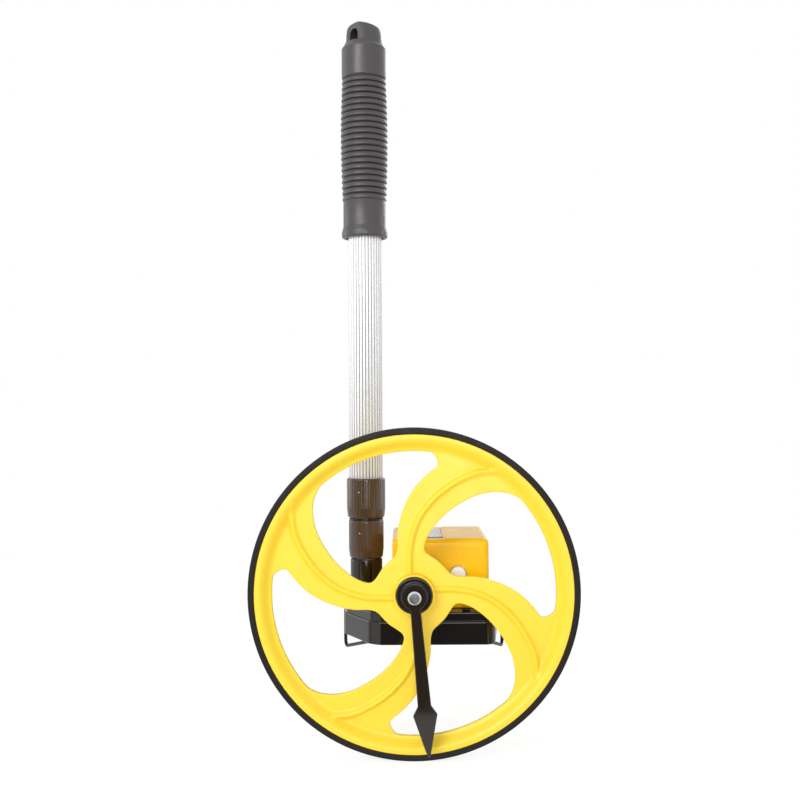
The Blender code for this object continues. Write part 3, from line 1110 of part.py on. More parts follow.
def make_stand():
    """The wire: stub, drop, leg, crossbar, and back up to the other stub."""
    pivot_y = at_depth(STAND_PIVOT_DEPTH)
    low = STAND_PIVOT_HEIGHT - STAND_DROP
    stub = BASE_WALL + UPPER_TIER_INSET + STAND_STUB_LENGTH
    bar_y = at_depth(STAND_BAR_DEPTH)
    high = STAND_PIVOT_HEIGHT
    path = [
        (-BASE_LEFT + stub, pivot_y, high), (STAND_LEFT_X, pivot_y, high), (STAND_LEFT_X, pivot_y, low),
        (-STAND_BAR_LEFT, bar_y, STAND_BAR_HEIGHT), (STAND_BAR_RIGHT, bar_y, STAND_BAR_HEIGHT),
        (STAND_RIGHT_X, pivot_y, low), (STAND_RIGHT_X, pivot_y, high),
        (RIGHT_WALL_AT_CLIP - stub, pivot_y, high),
    ]
    bends = rounded_path(path, 2 * STAND_WIRE_RADIUS)
    pivot = (0, pivot_y, STAND_PIVOT_HEIGHT)
    local = [tuple(Vector(point) - Vector(pivot)) for point in bends]
    tube_along("stand_wire", local, STAND_WIRE_RADIUS, BLACK_STEEL, pivot)
    inner = BASE_WALL + UPPER_TIER_INSET + SEAT_GAP
    for side, x in (("left", -BASE_LEFT + inner), ("right", RIGHT_WALL_AT_CLIP - inner - CLIP_THICKNESS)):
        ring(f"stand_clip_{side}", STAND_WIRE_RADIUS + SEAT_GAP, CLIP_RADIUS, 0, CLIP_THICKNESS, BLACK_STEEL,
             (x, pivot_y, STAND_PIVOT_HEIGHT), (0, math.pi / 2, 0), 12)


def finish_shading():
    for obj in PARTS.objects:
        smooth(obj)


make_tyre()
make_wheel()
make_axle_end(make_hub_bush())
make_axle()
make_drive_gear()
make_base_tray()
make_base_plate()
make_screws()
make_housing()
make_brackets()
make_drum_drive()
make_number_wheels()
make_carry_pinions()
make_reset_button()
make_tubes()
make_pole_fittings()
make_grip()
make_stand()
finish_shading()
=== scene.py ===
"""A walking measuring wheel, its telescopic pole pushed together: surfaces, finishes, light and camera.

Lengths are in millimetres until a mesh is made. Depth runs backwards, along +Y, from the wheel's front face.
"""

import math

import bmesh
import bpy
import numpy as np
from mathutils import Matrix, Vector


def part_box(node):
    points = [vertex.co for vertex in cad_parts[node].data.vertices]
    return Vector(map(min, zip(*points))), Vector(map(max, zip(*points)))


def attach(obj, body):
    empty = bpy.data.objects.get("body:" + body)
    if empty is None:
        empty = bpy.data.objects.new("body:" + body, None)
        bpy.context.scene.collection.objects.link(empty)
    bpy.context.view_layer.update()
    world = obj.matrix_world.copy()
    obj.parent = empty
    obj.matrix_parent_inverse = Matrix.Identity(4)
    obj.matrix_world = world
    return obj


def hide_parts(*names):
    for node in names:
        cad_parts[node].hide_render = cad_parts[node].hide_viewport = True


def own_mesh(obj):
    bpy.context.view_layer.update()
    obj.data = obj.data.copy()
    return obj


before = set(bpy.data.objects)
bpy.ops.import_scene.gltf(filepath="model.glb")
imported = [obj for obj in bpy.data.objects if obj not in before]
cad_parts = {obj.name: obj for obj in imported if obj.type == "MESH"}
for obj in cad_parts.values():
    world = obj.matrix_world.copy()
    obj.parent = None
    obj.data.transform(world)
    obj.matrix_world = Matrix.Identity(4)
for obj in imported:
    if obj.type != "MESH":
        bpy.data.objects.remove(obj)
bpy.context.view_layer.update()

MM = 0.001
MERGE = 0.003


def box_of(node):
    """The node's lowest and highest corners in millimetres."""
    low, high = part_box(node)
    return np.array(low) / MM, np.array(high) / MM


# Wheel: radii from the axle, depths from the front face
BOSS_PROUD = 3.0
RIM_RADIUS = 101.7
LIP_INNER_RADIUS = 98.9
COVE_INNER_RADIUS = 91.3
OPENING_RADIUS = 90.9
GROOVE_RADIUS = 99.7
RIM_WIDTH = 14.0
FLANGE = 1.6
BAND_RADIUS = 97.1
WEB_BACK_RADIUS = 93.0
WEB_DEPTH = 5.0
WEB_BACK = 8.2
BOSS_RADIUS = 13.0
BOSS_RECESS_RADIUS = 11.8
BOSS_FLOOR = -0.6
HUB_BORE = 7.0
HUB_REAR_RADIUS = 11.0
HUB_REAR_DEPTH = 15.2
RIB_HEIGHT = 2.1
RIB_FOOT_HALF = 2.8
OPENING_EDGE_ROUND = 0.7
BACK_EDGE_ROUND = 0.5
BOSS_FILLET = 1.5
# How much of the wheel's painted shade is held back at the boss, and the radius where that ends.
SHADE_HOLDBACK_SHARE, SHADE_HOLDBACK_END = 0.6, 60.0
OPENING_EDGE_SHARES = (
    (0.976, 81.0), (0.927, 79.3), (0.892, 80.2), (0.842, 83.3), (0.750, 89.0), (0.646, 94.5),
    (0.535, 100.1), (0.435, 105.3), (0.340, 110.0), (0.292, 117.5), (0.281, 129.6), (0.281, 142.0),
    (0.283, 154.5), (0.298, 163.7), (0.337, 167.4), (0.425, 165.7), (0.538, 160.8), (0.645, 155.7),
    (0.749, 150.5), (0.834, 146.1), (0.903, 141.6), (0.952, 137.7), (0.982, 134.1),
)
OPENING_RIM_ANGLES = (129.6, 118.3, 107.0, 95.7, 84.4)
RIB_PATH_SHARES = (
    (0.120, 103.2), (0.138, 102.4), (0.261, 96.6), (0.375, 92.6), (0.480, 88.2), (0.585, 83.1), (0.690, 77.4),
    (0.790, 71.7), (0.880, 66.6), (0.955, 62.2), (1.010, 58.0), (1.040, 55.4), (1.078, 52.2),
)

wheel_low, wheel_high = box_of("wheel")
tyre_low, tyre_high = box_of("tyre")
FRONT_Y = wheel_low[1] + BOSS_PROUD
AXLE_X = (tyre_low[0] + tyre_high[0]) / 2
AXLE_Z = (tyre_low[2] + tyre_high[2]) / 2
TYRE_RADIUS = (tyre_high[2] - tyre_low[2]) / 2


def linear(colour):
    """An sRGB hex colour as linear red, green, blue and alpha."""
    values = [int(colour[i:i + 2], 16) / 255 for i in (1, 3, 5)]
    return (*[v / 12.92 if v <= 0.04045 else ((v + 0.055) / 1.055) ** 2.4 for v in values], 1)


def add_node(tree, kind, settings=None, links=None):
    """One shader node. Settings are its own properties or its sockets' values. Links are (node, output) pairs
    by socket."""
    made = tree.nodes.new(kind)
    for key, value in (settings or {}).items():
        if isinstance(key, str) and hasattr(made, key):
            setattr(made, key, value)
        else:
            made.inputs[key].default_value = value
    for key, (source, output) in (links or {}).items():
        tree.links.new(source.outputs[output], made.inputs[key])
    return made


def new_material(name):
    material = bpy.data.materials.new(name)
    material.use_nodes = True
    material.node_tree.nodes.clear()
    return material, material.node_tree


FLUTE_MARK = "flute"
SHADE_HOLDBACK_MARK = "painted_shade_held_back"
PAINTED_SHADE_REACH = 10.0


def per_mm(size):
    """The texture scale whose features are about this many millimetres across."""
    return 1 / (size * MM)


def add_noise(tree, size, detail, roughness=0.5):
    """Noise through the solid, with features of about this size."""
    place = add_node(tree, "ShaderNodeTexCoord")
    settings = {"Scale": per_mm(size), "Detail": detail, "Roughness": roughness}
    return add_node(tree, "ShaderNodeTexNoise", settings, {"Vector": (place, "Object")})


def add_tint(tree, first, second, noise):
    """Runs from the first colour to the second with a noise."""
    colours = {"data_type": "RGBA", 6: linear(first), 7: linear(second)}
    return add_node(tree, "ShaderNodeMix", colours, {0: (noise, "Fac")})


def add_cover(tree, tint, colour, share, output="Fac"):
    """Covers a tint with a colour by a share."""
    colours = {"data_type": "RGBA", 7: linear(colour)}
    return add_node(tree, "ShaderNodeMix", colours, {0: (share, output), 6: (tint, 2)})


def add_surface(tree, tint, shine, low, high, bumps, strength, height, settings):
    """The shader: its roughness follows one noise from low to high, and its bump follows another."""
    levels = {"From Min": 0.3, "From Max": 0.7, "To Min": low, "To Max": high}
    rough = add_node(tree, "ShaderNodeMapRange", levels, {"Value": (shine, "Fac")})
    bump = add_node(tree, "ShaderNodeBump", {"Strength": strength, "Distance": height * MM},
                    {"Height": (bumps, "Fac")})
    shader = add_node(tree, "ShaderNodeBsdfPrincipled", settings,
                      {"Base Color": (tint, 2), "Roughness": (rough, "Result"), "Normal": (bump, "Normal")})
    add_node(tree, "ShaderNodeOutputMaterial", links={"Surface": (shader, "BSDF")})


def moulded_plastic(name, colour, deep_colour, roughness, grain=0.35, grain_height=0.004, flow=14.0,
                    hollow=None, groove=None, **extra):
    """Injection-moulded plastic: even colour with faint flow marks, and the mould's fine spark grain as
    bump. A hollow colour is painted shade: inner corners that see little of their surroundings are shifted
    towards it, standing in for their shade and the warm light bounced between bright walls, and less so
    where the piece marks the painted shade as held back. A groove colour is painted shade, filling what the
    piece marks as its flutes."""
    material, tree = new_material(name)
    flow_marks, grains = add_noise(tree, flow, 3.0, 0.55), add_noise(tree, grain, 2.0)
    tint = add_tint(tree, colour, deep_colour, flow_marks)
    # Painted shade: the hollow colour covers inner corners by how little of their surroundings they see.
    if hollow:
        openness = add_node(tree, "ShaderNodeAmbientOcclusion",
                            {"samples": 8, "only_local": True, "Distance": PAINTED_SHADE_REACH * MM})
        enclosed = add_node(tree, "ShaderNodeMapRange", {"From Min": 0.93, "From Max": 0.55},
                            {"Value": (openness, "AO")})
        clear = add_node(tree, "ShaderNodeAttribute", {"attribute_name": SHADE_HOLDBACK_MARK})
        painted_shade_share = add_node(tree, "ShaderNodeMath", {"operation": "SUBTRACT", "use_clamp": True},
                          {0: (enclosed, "Result"), 1: (clear, "Fac")})
        tint = add_cover(tree, tint, hollow, painted_shade_share, "Value")
    # Painted shade: the groove colour fills the flutes.
    if groove:
        flutes = add_node(tree, "ShaderNodeAttribute", {"attribute_name": FLUTE_MARK})
        tint = add_cover(tree, tint, groove, flutes)
    add_surface(tree, tint, flow_marks, roughness * 0.85, roughness * 1.2, grains, 0.5, grain_height, extra)
    return material


def drawn_aluminium(name, colour, deep_colour, groove, roughness):
    """Drawn and satin-anodised tube: the oxide layer scatters much of the light, so it is only partly a
    mirror. It has faint draw lines along the pole, and the groove colour paints the bottom of what the piece
    marks as its flutes darker, as painted shade and painted dark reflection."""
    material, tree = new_material(name)
    place = add_node(tree, "ShaderNodeTexCoord")
    along = add_node(tree, "ShaderNodeMapping", {"Scale": (per_mm(0.8), per_mm(0.8), per_mm(200))},
                     {"Vector": (place, "Object")})
    lines = add_node(tree, "ShaderNodeTexNoise", {"Scale": 1.0, "Detail": 0.0}, {"Vector": (along, "Vector")})
    flutes = add_node(tree, "ShaderNodeAttribute", {"attribute_name": FLUTE_MARK})
    tint = add_cover(tree, add_tint(tree, deep_colour, colour, lines), groove, flutes)
    add_surface(tree, tint, lines, roughness * 0.95, roughness * 1.05, lines, 0.1, 0.002,
                {"Metallic": 0.25, "Specular Tint": (0.3, 0.3, 0.31, 1)})
    return material


def turned_steel(name, colour, deep_colour, roughness, spot=1.6):
    """Turned and plated steel: grey metal, mottled by the plating, with a slightly uneven shine."""
    material, tree = new_material(name)
    spots = add_noise(tree, spot, 5.0, 0.65)
    tint = add_tint(tree, deep_colour, colour, spots)
    add_surface(tree, tint, spots, roughness * 0.75, roughness * 1.3, spots, 0.3, 0.008, {"Metallic": 1.0})
    return material


def clear_acrylic(name, colour):
    """Cast acrylic sheet: clear, polished, with a faint cool tint."""
    material, tree = new_material(name)
    haze = add_noise(tree, 3.0, 2.0)
    shine = add_node(tree, "ShaderNodeMapRange", {"To Min": 0.1, "To Max": 0.18}, {"Value": (haze, "Fac")})
    shader = add_node(tree, "ShaderNodeBsdfPrincipled",
                      {"Base Color": linear(colour), "IOR": 1.49, "Transmission Weight": 1.0},
                      {"Roughness": (shine, "Result")})
    add_node(tree, "ShaderNodeOutputMaterial", links={"Surface": (shader, "BSDF")})
    return material


MATT = {"IOR": 1.53, "Specular IOR Level": 0.2}
GLOSSY = {"grain_height": 0.002, "IOR": 1.53}
# The yellow's hollow colour is painted shade in the rim's cove and beside the ribs and the boss.
YELLOW_ABS = moulded_plastic("yellow_abs_moulding", "#FFE03A", "#FFDB30", 0.36, hollow="#FFB414", IOR=1.53)
ORANGE_ABS = moulded_plastic("orange_abs_housing", "#FFCA08", "#FFC502", 0.24, grain_height=0.001, **MATT)
BLACK_ABS = moulded_plastic("black_abs_base", "#161210", "#12100E", 0.1, **GLOSSY)
NEEDLE_ABS = moulded_plastic("black_abs_needle", "#241B14", "#20180F", 0.12, **GLOSSY)
BLACK_NYLON = moulded_plastic("black_nylon_bush", "#1E1917", "#1B1614", 0.12, **GLOSSY)
# The collar's groove colour is painted shade in its flutes.
BROWN_ABS = moulded_plastic("brown_abs_collar", "#503B28", "#483523", 0.18, groove="#4B3722", IOR=1.53)
WHITE_ACETAL = moulded_plastic("white_acetal", "#FFFFFE", "#FAFAF7", 0.35, IOR=1.48)
BLACK_INK = moulded_plastic("black_pad_print", "#1A1A1C", "#151517", 0.5, grain_height=0.001)
TYRE_RUBBER = moulded_plastic("black_tyre_rubber", "#211B18", "#1B1714", 0.46, grain=0.5, grain_height=0.012,
                              flow=9.0, **MATT)
# The grip's hollow colour is painted shade in the grooves between its ribs.
GRIP_RUBBER = moulded_plastic("grey_grip_rubber", "#4A4649", "#433F42", 0.36, grain=0.3, grain_height=0.01,
                              flow=11.0, hollow="#2B2829", IOR=1.52)
# The groove colours are painted shade and painted dark reflection in the flutes.
ALUMINIUM = drawn_aluminium("satin_anodised_aluminium", "#FAFAFB", "#F6F6F7", "#707175", 0.4)
DARKER_ALUMINIUM = drawn_aluminium("plain_anodised_aluminium", "#C2C4C8", "#B6B8BC", "#85868A", 0.38)
STEEL = turned_steel("plated_steel", "#E4E5E8", "#C4C5C9", 0.26)
SAWN_STEEL = turned_steel("sawn_steel", "#A6A9AE", "#08090C", 0.38, 2.6)
BLACK_STEEL = moulded_plastic("black_coated_wire", "#161413", "#121110", 0.45, grain=0.6, grain_height=0.01,
                              **MATT)
CLEAR_ACRYLIC = clear_acrylic("clear_acrylic_window", "#E9E6F2")


def linked(name, data):
    """A new object in the scene."""
    made = bpy.data.objects.new(name, data)
    bpy.context.scene.collection.objects.link(made)
    return made


def place_mesh(name, mesh, material, body, nodes, crease=35):
    """Shades the mesh, gives it its finish and lets it ride with its body in the place of its CAD nodes."""
    mesh.materials.clear()
    mesh.materials.append(material)
    mesh.shade_smooth()
    mesh.set_sharp_from_angle(angle=math.radians(crease))
    piece = linked(name, mesh)
    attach(piece, body)
    if nodes:
        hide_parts(*nodes)
    return piece


def sealed(mesh):
    """Merges doubled points and turns every face outwards."""
    shape = bmesh.new()
    shape.from_mesh(mesh)
    bmesh.ops.remove_doubles(shape, verts=shape.verts, dist=MERGE * MM)
    bmesh.ops.recalc_face_normals(shape, faces=shape.faces)
    shape.to_mesh(mesh)
    shape.free()
    return mesh


def mesh_of(name, patches, loops=()):
    """One mesh from grids of points in millimetres: four neighbours of a grid make a face, points that
    grids share are merged, and each loop of points is closed by one flat face."""
    points, faces, start = [], [], 0
    for patch in patches:
        rows, columns = patch.shape[:2]
        index = start + np.arange(rows * columns).reshape(rows, columns)
        cells = np.stack([index[:-1, :-1], index[:-1, 1:], index[1:, 1:], index[1:, :-1]], axis=-1)
        faces.extend(cells.reshape(-1, 4).tolist())
        points.append(patch.reshape(-1, 3))
        start += rows * columns
    for loop in loops:
        faces.append(list(range(start, start + len(loop))))
        points.append(loop)
        start += len(loop)
    mesh = bpy.data.meshes.new(name)
    mesh.from_pydata((np.concatenate(points) * MM).tolist(), [], faces)
    return sealed(mesh)


def closed_mesh(name, walls):
    """One mesh from a grid whose first and last rows are closed by flat faces."""
    return mesh_of(name, [walls], [walls[0, :-1], walls[-1, :-1]])


def arc_at(corner, before, after, radius, steps):
    """The arc that rounds a corner, tangent to the sides towards the points before and after it."""
    back, ahead = before - corner, after - corner
    back, ahead = back / np.linalg.norm(back), ahead / np.linalg.norm(ahead)
    half = math.acos(np.clip(back @ ahead, -1, 1)) / 2
    centre = corner + (back + ahead) / np.linalg.norm(back + ahead) * radius / math.sin(half)
    first, last = (corner + side * radius / math.tan(half) - centre for side in (back, ahead))
    sweep = math.pi - 2 * half
    share = np.linspace(0, 1, steps + 1)[:, None]
    return centre + (first * np.sin((1 - share) * sweep) + last * np.sin(share * sweep)) / math.sin(sweep)


def rounded(corners, steps=5, closed=False):
    """A line through (a, b, radius) corners, where each corner with a radius is an arc."""
    corners = np.array(corners, float)
    places, last, line = corners[:, :2], len(corners) - 1, []
    for i, radius in enumerate(corners[:, 2]):
        if radius == 0 or (not closed and i in (0, last)):
            line.append(places[i:i + 1])
        else:
            line.append(arc_at(places[i], places[i - 1], places[(i + 1) % len(places)], radius, steps))
    line = np.concatenate(line)
    return np.concatenate([line, line[:1]]) if closed else line


def bent_path(corners, radius, steps):
    """A path of straight runs in space whose corners are arcs of one radius."""
    corners = np.array(corners, float)
    arcs = [arc_at(corner, before, after, radius, steps)
            for before, corner, after in zip(corners, corners[1:], corners[2:])]
    return np.concatenate([corners[:1], *arcs, corners[-1:]])


def held(line, near=0.15):
    """The line with a point close to both ends of each long straight run, so that a flat face is shaded
    flat."""
    start, end = line[:-1], line[1:]
    length = np.linalg.norm(end - start, axis=1)
    step = (end - start) / length[:, None] * near
    kept = np.stack([length > 0, length > 6 * near, length > 6 * near], axis=1)
    return np.concatenate([np.stack([start, start + step, end - step], axis=1)[kept], line[-1:]])


def all_round(sides):
    return np.linspace(0, math.tau, sides + 1)


def ray(angle):
    """The direction of each angle in a plane."""
    return np.stack([np.cos(angle), np.sin(angle)], axis=-1)


def turned(rows, angles):
    """A section's (radius, place along the axis) rows turned over the angles, as cosine side, sine side and
    place. A radius is one number, or one for each angle."""
    radius, along = (np.array([row[k] * np.ones(len(angles)) for row in rows]) for k in (0, 1))
    return radius * np.cos(angles), radius * np.sin(angles), along


def turned_deep(rows, angles, x=AXLE_X, z=AXLE_Z):
    """A section turned round an axis along Y, with depths from the wheel's front."""
    across, up, depth = turned(rows, angles)
    return np.stack([x + across, FRONT_Y + depth, z + up], axis=-1)


def turned_up(name, rows, angles):
    """A mesh from a section turned round the pole's axis."""
    across, back, height = turned(rows, angles)
    return mesh_of(name, [np.stack([POLE_X + across, POLE_Y + back, height], axis=-1)])


def polar(shares, radius):
    """Points from (share of the radius, degrees) rows."""
    rows = np.array(shares, float)
    return rows[:, :1] * radius * ray(np.radians(rows[:, 1]))


def smooth_line(points, steps=12, closed=False):
    """A Catmull-Rom curve: each span is the cubic whose end slopes are half the chord of its end's
    neighbours."""
    if closed:
        padded = np.concatenate([points[-1:], points, points[:2]])
    else:
        padded = np.concatenate([2 * points[:1] - points[1:2], points, 2 * points[-1:] - points[-2:-1]])
    before, start, end, after = (padded[k:len(padded) - 3 + k, None] for k in range(4))
    t = np.linspace(0, 1, steps, endpoint=False)[None, :, None]
    curve = 0.5 * (2 * start + (end - before) * t + (2 * before - 5 * start + 4 * end - after) * t ** 2
                   + (3 * start - before - 3 * end + after) * t ** 3)
    curve = curve.reshape(-1, points.shape[1])
    return np.concatenate([curve, curve[:1] if closed else points[-1:]])


def even_steps(line, count):
    """The line's points moved to even steps along its length."""
    lengths = np.linalg.norm(np.diff(line, axis=0), axis=1)
    along = np.concatenate([[0], np.cumsum(lengths)])
    wanted = np.linspace(0, along[-1], count + 1)
    return np.stack([np.interp(wanted, along, line[:, k]) for k in range(line.shape[1])], axis=-1)


def distance_to(points, line):
    """Each point's distance to the nearest of the line's straight pieces."""
    start, run = line[:-1], np.diff(line, axis=0)
    offset = points[..., None, :] - start
    share = np.clip((offset * run).sum(-1) / (run * run).sum(-1), 0, 1)
    gap = offset - share[..., None] * run
    return np.sqrt((gap * gap).sum(-1).min(-1))


def spun(points, angle):
    """Points of a plane turned by an angle."""
    return points @ np.array([[math.cos(angle), math.sin(angle)], [-math.sin(angle), math.cos(angle)]])


def quarter_turn(points, turns):
    """Points of the wheel's plane turned by quarter turns."""
    return spun(points, turns * math.pi / 2)


def eased(share):
    """A smooth step from 0 to 1."""
    share = np.clip(share, 0, 1)
    return share * share * (3 - 2 * share)


def corner_drop(distance, radius):
    """How far a rounded edge lies below its face at this distance from the edge: a quarter circle."""
    share = np.clip(1 - distance / radius, 0, 1)
    return radius * (1 - np.sqrt(1 - share * share))


def points_of(mesh):
    """The mesh's points in millimetres."""
    points = np.zeros(len(mesh.vertices) * 3)
    mesh.vertices.foreach_get("co", points)
    return points.reshape(-1, 3) / MM


def changed(mesh, alter):
    """The mesh with its points sent through a function of the whole array."""
    mesh.vertices.foreach_set("co", alter(points_of(mesh)).ravel() * MM)
    mesh.update()
    return mesh


def evaluated(holder):
    """The mesh that an object has after its modifiers. The object is removed."""
    bpy.context.view_layer.update()
    mesh = bpy.data.meshes.new_from_object(holder.evaluated_get(bpy.context.evaluated_depsgraph_get()))
    bpy.data.objects.remove(holder, do_unlink=True)
    return mesh


def combined(mesh, *changes):
    """The mesh after its boolean changes: pairs of an operation and the other solid's mesh."""
    body, tools = linked(mesh.name, mesh), []
    for operation, other in changes:
        tools.append(linked(other.name, other))
        change = body.modifiers.new(other.name, "BOOLEAN")
        change.operation, change.solver, change.object = operation, "EXACT", tools[-1]
    result = evaluated(body)
    for tool in tools:
        bpy.data.objects.remove(tool, do_unlink=True)
    return result


def cut(mesh, *cutters):
    """The mesh less the other solids."""
    return combined(mesh, *[("DIFFERENCE", cutter) for cutter in cutters])


def drawn(curve):
    """A curve's or a text's mesh."""
    holder = bpy.data.objects.new(curve.name, curve)
    mesh = bpy.data.meshes.new_from_object(holder)
    bpy.data.objects.remove(holder)
    return mesh


def flat_mesh(name, outlines, thickness, bevel):
    """Outlines in a plane, with holes, thickened evenly to both sides, with chamfered edges."""
    curve = bpy.data.curves.new(name, "CURVE")
    curve.dimensions, curve.fill_mode = "2D", "BOTH"
    curve.extrude, curve.offset = (thickness / 2 - bevel) * MM, -bevel * MM
    curve.bevel_depth, curve.bevel_resolution = bevel * MM, 0
    for outline in outlines:
        spline = curve.splines.new("POLY")
        spline.points.add(len(outline) - 1)
        sides = np.broadcast_to([0.0, 1.0], (len(outline), 2))
        spline.points.foreach_set("co", np.concatenate([outline * MM, sides], axis=1).ravel())
        spline.use_cyclic_u = True
    return drawn(curve)


def marked(mesh, name, rule):
    """The mesh with a number per point as an attribute, which a rule works out from the points."""
    values = np.ascontiguousarray(rule(points_of(mesh)), dtype=np.float32)
    mesh.attributes.new(name, "FLOAT", "POINT").data.foreach_set("value", values)
    return mesh


def rounded_core(corners, radius, arc_steps, side_shares):
    """A convex outline with rounded corners, listed anticlockwise, as its core and its outward directions.
    The core is the outline moved in by the radius: a point stays at the core's corner while its direction
    turns, and then runs along the side. side_shares has each side's places between its ends."""
    corners = np.array(corners, float)
    run = np.roll(corners, -1, axis=0) - corners
    run /= np.linalg.norm(run, axis=1)[:, None]
    facing = np.stack([run[:, 1], -run[:, 0]], axis=-1)
    before = np.roll(facing, 1, axis=0)
    core = corners - (before + facing) * radius / (1 + (before * facing).sum(-1))[:, None]
    places, outward = [], []
    for i, shares in enumerate(side_shares):
        start = math.atan2(before[i, 1], before[i, 0])
        sweep = math.acos(np.clip(before[i] @ facing[i], -1, 1))
        along = np.array(shares)[:, None]
        places += [np.repeat(core[i:i + 1], arc_steps + 1, axis=0),
                   core[i] + along * (core[(i + 1) % len(core)] - core[i])]
        outward += [ray(start + sweep * np.linspace(0, 1, arc_steps + 1)),
                    np.repeat(facing[i:i + 1], len(along), axis=0)]
    return (np.concatenate([*lines, lines[0][:1]]) for lines in (places, outward))


def carried_round(core, outward, radius, profile):
    """A profile of (inset, height) rows carried round an outline seen from above: a point is the core's point
    plus its outward direction times the radius less the inset, at the row's height."""
    profile = np.array(profile, float)
    flat = core[None] + (radius - profile[:, 0])[:, None, None] * outward[None]
    height = np.broadcast_to(profile[:, 1][:, None, None], flat.shape[:2] + (1,))
    return np.concatenate([flat, height], axis=-1)


def rectangle(low, high):
    """The corners of a rectangle seen from above, anticlockwise."""
    return [(low[0], low[1]), (high[0], low[1]), (high[0], high[1]), (low[0], high[1])]


def rounded_block(name, low, high, corner, steps, profile):
    """A closed block on a rectangle with rounded corners, whose sides follow a profile."""
    core, outward = rounded_core(rectangle(low, high), corner, steps, [[]] * 4)
    return closed_mesh(name, carried_round(core, outward, corner, profile))


def tube_along(name, path, radius, sides):
    """A round wire along a path, without twist: each ring's frame is the last one's, turned square to the
    path."""
    ahead = np.gradient(path, axis=0)
    ahead /= np.linalg.norm(ahead, axis=1)[:, None]
    across = np.cross(ahead[0], [0.3, 0.8, 0.5])
    frames = []
    for direction in ahead:
        across = across - direction * (across @ direction)
        across = across / np.linalg.norm(across)
        frames.append(across)
    across = np.array(frames)
    up = np.cross(ahead, across)
    turn = all_round(sides)[None, :, None]
    body = path[:, None] + radius * (np.cos(turn) * across[:, None] + np.sin(turn) * up[:, None])
    tips = np.repeat(path[[0, -1]][:, None], sides + 1, axis=1)
    return mesh_of(name, [np.concatenate([tips[:1], body, tips[1:]])])


EDGE_STEPS = np.array([0, 0.08, 0.22, 0.42, 0.7])
SPOKE_COLUMNS, SPOKE_ROWS, HUB_COLUMNS, RIM_COLUMNS = 64, 96, 32, 72
COVE_ROWS = 18
SPLIT = 12
RIM_LOW, HUB_LOW, HUB_HIGH, RIM_HIGH = 0, round(8.5 * SPLIT), round(13.5 * SPLIT), 21 * SPLIT

opening_controls = np.concatenate([
    polar(OPENING_EDGE_SHARES, OPENING_RADIUS),
    polar([(1, angle) for angle in OPENING_RIM_ANGLES], OPENING_RADIUS),
])
opening_loop = smooth_line(opening_controls, SPLIT, closed=True)
rib_line = smooth_line(polar(RIB_PATH_SHARES, OPENING_RADIUS), 6)
RIBS = [quarter_turn(rib_line, k) for k in range(4)]
OPENINGS = [quarter_turn(opening_loop, k) for k in range(4)]


def nearest(points, lines):
    """Each point's distance to the nearest of the lines."""
    return np.min([distance_to(points, line) for line in lines], axis=0)


def on_front(points):
    """Points of the wheel's plane set on its front. The flat web rises by a smooth step to the rim's lip,
    by a small arc to the boss and by a raised cosine across each rib; the rises combine as fourth powers.
    At each opening the face falls away by a quarter circle."""
    radius = np.hypot(points[..., 0], points[..., 1])
    cove_rise = WEB_DEPTH * eased((radius - COVE_INNER_RADIUS) / (LIP_INNER_RADIUS - COVE_INNER_RADIUS))
    boss_rise = corner_drop(radius - BOSS_RADIUS, BOSS_FILLET)
    rib_share = np.clip(nearest(points, RIBS) / RIB_FOOT_HALF, 0, 1)
    rib_rise = RIB_HEIGHT * (0.5 + 0.5 * np.cos(math.pi * rib_share)) ** 0.8
    rise = (cove_rise ** 4 + boss_rise ** 4 + rib_rise ** 4) ** 0.25
    edge_drop = corner_drop(nearest(points, OPENINGS), OPENING_EDGE_ROUND)
    return in_wheel(points, WEB_DEPTH - np.minimum(rise, WEB_DEPTH) + edge_drop)


def on_back(points):
    """Points of the wheel's plane set on the web's flat back, which is rounded at each opening."""
    return in_wheel(points, WEB_BACK - corner_drop(nearest(points, OPENINGS), BACK_EDGE_ROUND))


def in_wheel(points, depth):
    """Points of the wheel's plane set at their depth in the frame."""
    return np.stack([AXLE_X + points[..., 0], FRONT_Y + depth, AXLE_Z + points[..., 1]], axis=-1)


def radius_and_angle(line):
    return np.hypot(*line.T), np.unwrap(np.arctan2(line[:, 1], line[:, 0]))


